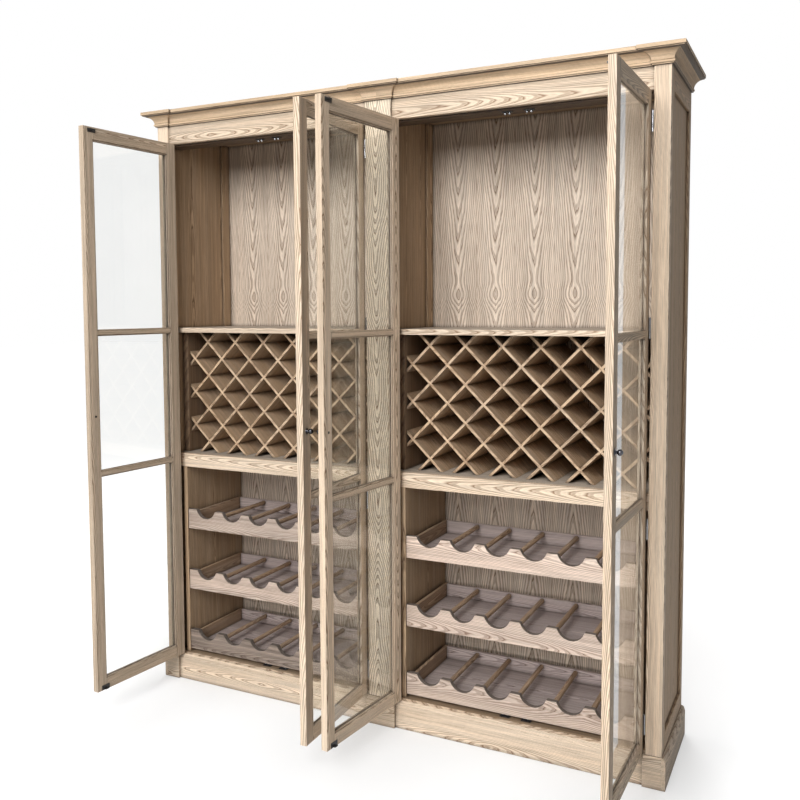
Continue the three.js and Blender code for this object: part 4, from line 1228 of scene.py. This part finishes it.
# %% Hinges
HINGES_ON_DOOR, HINGE_FROM_END = 4, 0.095
BARREL, BARREL_RADIUS, KNUCKLE_GAP = 0.066, 0.0035, 0.00025
AXIS_INSET, PIN_HEAD = 0.004, 0.0026
LEAF, LEAF_SUNK, LEAF_REACH = 0.0009, 0.0001, 0.021
ARM_HALF, ARM_GAP = 0.001, 0.0005
knuckle = BARREL / 3
for label, door in doors.items():
    axis_x, axis_y = hinge_joint(label)["pos_m"][:2]
    near, free = sorted(door["x"], key=lambda x: abs(x - axis_x))
    to_free = 1 if near < free else -1
    post = axis_x - to_free * AXIS_INSET
    low, high = door["z"][0] + HINGE_FROM_END, door["z"][1] - HINGE_FROM_END
    last = HINGES_ON_DOOR - 1
    heights = [low + (high - low) * index / last for index in range(HINGES_ON_DOOR)]
    on_post, on_door = bmesh.new(), bmesh.new()
    for z in heights:
        foot, head = z - BARREL / 2, z + BARREL / 2
        for index, half_hinge in enumerate((on_post, on_door, on_post)):
            bottom = foot + index * knuckle
            cylinder(
                half_hinge, BARREL_RADIUS, (axis_x, axis_y, bottom + KNUCKLE_GAP),
                (axis_x, axis_y, bottom + knuckle - KNUCKLE_GAP),
            )
        for end in (foot, head):
            ball(on_post, PIN_HEAD, (axis_x, axis_y, end), 12)
        plate(on_post, (post - to_free * LEAF_SUNK, axis_y - ARM_HALF, foot),
              (post + to_free * LEAF, CARCASS_FRONT - ARM_HALF, head))
        for bottom, top in ((foot, foot + knuckle - ARM_GAP), (head - knuckle + ARM_GAP, head)):
            plate(on_post, (post, axis_y - ARM_HALF, bottom), (axis_x, axis_y + ARM_HALF, top))
        plate(on_door, (near + to_free * LEAF_SUNK, DOOR_RECESS - ARM_HALF, foot),
              (near - to_free * LEAF, DOOR_RECESS + LEAF_REACH, head))
        plate(on_door, (axis_x - ARM_HALF, axis_y, foot + knuckle + ARM_GAP),
              (axis_x + ARM_HALF, DOOR_RECESS + ARM_HALF, head - knuckle - ARM_GAP))
    add_metal(f"hinges_post_{label}", on_post, CHROME, "cabinet")
    add_metal(f"hinges_door_{label}", on_door, CHROME, f"door_{label}", door["turn"])
    door["free"], door["to_free"] = free, to_free
print("hinge heights", [round(z, 3) for z in heights])

# %% [markdown]
# ## Knobs
# The knob is turned on a lathe: a foot, a narrow neck and a flattened ball. In Blender that is a
# profile spun round an axis, which gives every ring its true radius. Scaling a sphere would be
# quicker, but has no neck. A small bolt head shows on the inner face of the door.

# %% Knobs
KNOB_PROFILE = [
    (0.0, 0.0), (0.0092, 0.0), (0.0098, 0.0008), (0.0094, 0.0020), (0.0070, 0.0028),
    (0.0048, 0.0038), (0.0042, 0.0058), (0.0050, 0.0078), (0.0074, 0.0100), (0.0090, 0.0124),
    (0.0095, 0.0148), (0.0091, 0.0176), (0.0076, 0.0204), (0.0050, 0.0226), (0.0022, 0.0237),
    (0.0, 0.0240),
]
KNOB_FROM_EDGE, KNOB_HEIGHT = 0.025, 1.179
BOLT_RADIUS, BOLT_SUNK, BOLT_PROUD = 0.0042, 0.0004, 0.0008
INNER_FACE = DOOR_RECESS + DOOR_THICKNESS
for label, door in doors.items():
    centre_x = door["free"] - door["to_free"] * KNOB_FROM_EDGE
    bm = bmesh.new()
    points = [bm.verts.new((radius, 0, height)) for radius, height in KNOB_PROFILE]
    edges = [bm.edges.new(pair) for pair in zip(points, points[1:])]
    bmesh.ops.spin(
        bm, geom=points + edges, cent=(0, 0, 0), axis=(0, 0, 1), angle=math.tau, steps=40,
    )
    bmesh.ops.remove_doubles(bm, verts=bm.verts, dist=1e-6)
    bmesh.ops.recalc_face_normals(bm, faces=bm.faces)
    centre = Matrix.Translation((centre_x, DOOR_RECESS - SLACK, KNOB_HEIGHT))
    bm.transform(centre @ Matrix.Rotation(math.pi / 2, 4, "X"))
    knob = add_metal(f"knob_{label}", bm, CHROME_PAINTED_DARK_REFLECTION, f"door_{label}", door["turn"])
    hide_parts(f"door_knob_{label}")
    bm = bmesh.new()
    cylinder(
        bm, BOLT_RADIUS, (centre_x, INNER_FACE - BOLT_SUNK, KNOB_HEIGHT),
        (centre_x, INNER_FACE + BOLT_PROUD, KNOB_HEIGHT),
    )
    add_metal(f"knob_bolt_{label}", bm, CATCH_BLACK, f"door_{label}", door["turn"])
print("knob radius", max(radius for radius, _ in KNOB_PROFILE))

# %% [markdown]
# ## Catches and strikes
# At the top and bottom of its free edge a door has a double ball catch: a black plate with a
# tongue on the door, and two sprung balls on a plate under the stop rail and on the bottom
# board. They are too small to be solids of their own, and show as black specks on the doors.
# The tongue passes between the balls, so nothing touches when the door is closed.

# %% Catches and strikes
CATCH_LENGTH, CATCH_FROM_EDGE, TONGUE_INSET = 0.036, 0.02, 0.01
CATCH_PLATE, TONGUE_REACH = 0.0016, 0.011
TOP_PLATE, TOP_TONGUE = (-0.0135, 0.0012), (-0.006, -0.001)
LOW_PLATE, LOW_TONGUE = (-0.004, 0.014), (-0.002, 0.002)
STRIKE_FRONT, STRIKE_REAR, STRIKE = CARCASS_FRONT + 0.012, CARCASS_FRONT + 0.030, 0.003
BALL_LINE, BALL_HEIGHT = CARCASS_FRONT + 0.021, 0.0062
TOP_BALL, LOW_BALL, NECK = 0.0052, 0.0038, 0.0032
rail = FRIEZE_BOTTOM - 0.008
for label, door in doors.items():
    away = door["to_free"]
    far = door["free"] - away * CATCH_FROM_EDGE
    near = far - away * CATCH_LENGTH
    top, bottom = door["z"][1] - 0.007, door["z"][0] + 0.006
    tongues, strikes, balls = bmesh.new(), bmesh.new(), bmesh.new()
    for low, high in (above(top, TOP_PLATE), above(bottom, LOW_PLATE)):
        plate(tongues, (near, INNER_FACE, low), (far, INNER_FACE + CATCH_PLATE, high), 0.0004)
    for low, high in (above(top, TOP_TONGUE), above(bottom, LOW_TONGUE)):
        plate(tongues, (near + away * TONGUE_INSET, INNER_FACE, low),
              (far - away * TONGUE_INSET, INNER_FACE + TONGUE_REACH, high), 0.0006)
    for low, high in ((rail - STRIKE, rail), (PLINTH_TOP, PLINTH_TOP + STRIKE)):
        plate(strikes, (near, STRIKE_FRONT, low), (far, STRIKE_REAR, high), 0.0004)
    for share in (0.28, 0.72):
        x = near + (far - near) * share
        ball(balls, TOP_BALL, (x, BALL_LINE, rail - BALL_HEIGHT))
        cylinder(balls, NECK, (x, BALL_LINE, rail - 0.004), (x, BALL_LINE, rail - 0.002))
        ball(balls, LOW_BALL, (x, BALL_LINE, PLINTH_TOP + BALL_HEIGHT))
    add_metal(f"catch_tongues_{label}", tongues, CATCH_BLACK, f"door_{label}", door["turn"])
    add_metal(f"catch_plates_{label}", strikes, CATCH_BLACK, "cabinet")
    add_metal(f"catch_balls_{label}", balls, CHROME, "cabinet")
print("catches done")

# %% [markdown]
# ## Floor and background
# The cabinet stands on a seamless pale floor. The camera sees a white world, and so do
# reflections and what shines through the glass, but the light that reaches the wood is set
# apart from it with the Light Path node, so the white never washes the oak out. A white floor
# lit by strong lamps would throw light up the cabinet, so the floor is grey, and only what looks
# at it sees it lifted to white: more with the distance, so that it melts into the background,
# and more beside the cabinet, painted light that whitens out its cast shadow there. Where the
# cabinet shelters the floor the lift is lowered, which paints a soft shadow at its foot.

# %% Floor and world
FLOOR_HALF = 30.0
FLOOR_DROP = -0.0006
GREY_LOW, GREY_HIGH = (0.45, 0.45, 0.45, 1), (0.47, 0.47, 0.47, 1)
WHITE = (1, 1, 1, 1)
# Beside the cabinet the floor's lift is raised: painted light that whitens out its cast shadow
# there.
NEAR_LIFT, SIDE_PAINTED_LIGHT = 0.66, 0.84
LIFT_BY_DISTANCE, PAINTED_LIGHT_BY_SIDE = (1.2, 6.0), (1.15, 1.6)
# Painted shadow at the cabinet's foot: the lift is lowered where ambient occlusion finds the
# floor sheltered.
PAINTED_SHADOW_REACH, PAINTED_SHADOW_LIMITS, PAINTED_SHADOW_DARKEST = 0.45, (0.35, 0.97), 0.7
AMBIENT = 0.065


def seen_directly(tree):
    """1 where the camera looks, also by a reflection or through glass, and 0 elsewhere."""
    paths = tree.add("ShaderNodeLightPath").outputs
    seen = tree.math("MAXIMUM", paths["Is Camera Ray"], paths["Is Glossy Ray"])
    return tree.math("MAXIMUM", seen, paths["Is Transmission Ray"])


bm = bmesh.new()
bmesh.ops.create_grid(bm, x_segments=8, y_segments=8, size=FLOOR_HALF)
mesh = bpy.data.meshes.new("floor")
bm.to_mesh(mesh)
bm.free()
floor = bpy.data.objects.new("floor", mesh)
floor.location.z = FLOOR_DROP
bpy.context.scene.collection.objects.link(floor)
paper, tree, surface = new_material("pale_floor")
place = tree.object_place()
distance = tree.add("ShaderNodeVectorMath", {"operation": "LENGTH"}, i0=place).outputs["Value"]
sideways = tree.math("ABSOLUTE", tree.split(place)[0])
lift = tree.math(
    "MAXIMUM", tree.remap(distance, *LIFT_BY_DISTANCE, NEAR_LIFT, 1.0),
    tree.remap(sideways, *PAINTED_LIGHT_BY_SIDE, NEAR_LIFT, SIDE_PAINTED_LIGHT),
)
# Painted shadow: sheltered floor gets less lift.
painted_shadow = tree.add("ShaderNodeAmbientOcclusion", {"samples": 8}, Distance=PAINTED_SHADOW_REACH)
painted_shadow = tree.remap(painted_shadow.outputs["AO"], *PAINTED_SHADOW_LIMITS, PAINTED_SHADOW_DARKEST, 1.0)
lift = tree.times(lift, painted_shadow)
tree.feed(surface["Base Color"], tree.mix(tree.noise(place, 3.0, 3.0), GREY_LOW, GREY_HIGH))
tree.feed(surface["Emission Strength"], tree.times(seen_directly(tree), lift))
for label, value in (("Roughness", 0.9), ("Specular IOR Level", 0.0), ("Emission Color", WHITE)):
    tree.feed(surface[label], value)
floor.data.materials.append(paper)

world = bpy.data.worlds.new("studio")
bpy.context.scene.world = world
world.use_nodes = True
tree = Tree(world.node_tree)
sky = world.node_tree.nodes["Background"].inputs
tree.feed(sky["Color"], WHITE)
tree.feed(sky["Strength"], tree.remap(seen_directly(tree), 0.0, 1.0, AMBIENT, 1.0))
print("floor and world done, ambient light", AMBIENT)

# %% [markdown]
# ## Lamps
# One large soft lamp, high in front, gives the main light, as a window would. A low narrow one
# brightens the lowest trays, and is hidden from reflections so that it doesn't show in the
# panes. Two more light the back and the left side, which are only seen from other viewpoints.
# A bright world could do all this, but it would leave no shadows in the bays.

# %% Lamps
LOW_SPREAD = math.radians(60)


def lamp(name, place, target, size, power):
    """A soft rectangular lamp that the camera doesn't see."""
    light = bpy.data.lights.new(name, "AREA")
    light.shape = "RECTANGLE"
    light.size, light.size_y = size
    light.energy = power
    holder = bpy.data.objects.new(name, light)
    holder.visible_camera = False
    bpy.context.scene.collection.objects.link(holder)
    aim = (Vector(target) - Vector(place)).to_track_quat("-Z", "Y")
    holder.matrix_world = Matrix.Translation(Vector(place)) @ aim.to_matrix().to_4x4()
    return holder


lamp("window_light", (0.35, -4.7, 3.85), (0.05, 0.2, 1.15), (2.8, 2.7), 322)
low_fill = lamp("low_fill", (0.1, -3.0, 0.45), (0.1, 0.3, 0.25), (2.2, 0.5), 4.5)
low_fill.data.spread = LOW_SPREAD
low_fill.visible_glossy = False
lamp("rear_light", (-1.2, 5.0, 3.2), (0.0, 0.3, 1.2), (2.6, 2.6), 210)
lamp("left_light", (-5.0, 1.2, 2.8), (-1.0, 0.2, 1.2), (2.4, 2.4), 75)
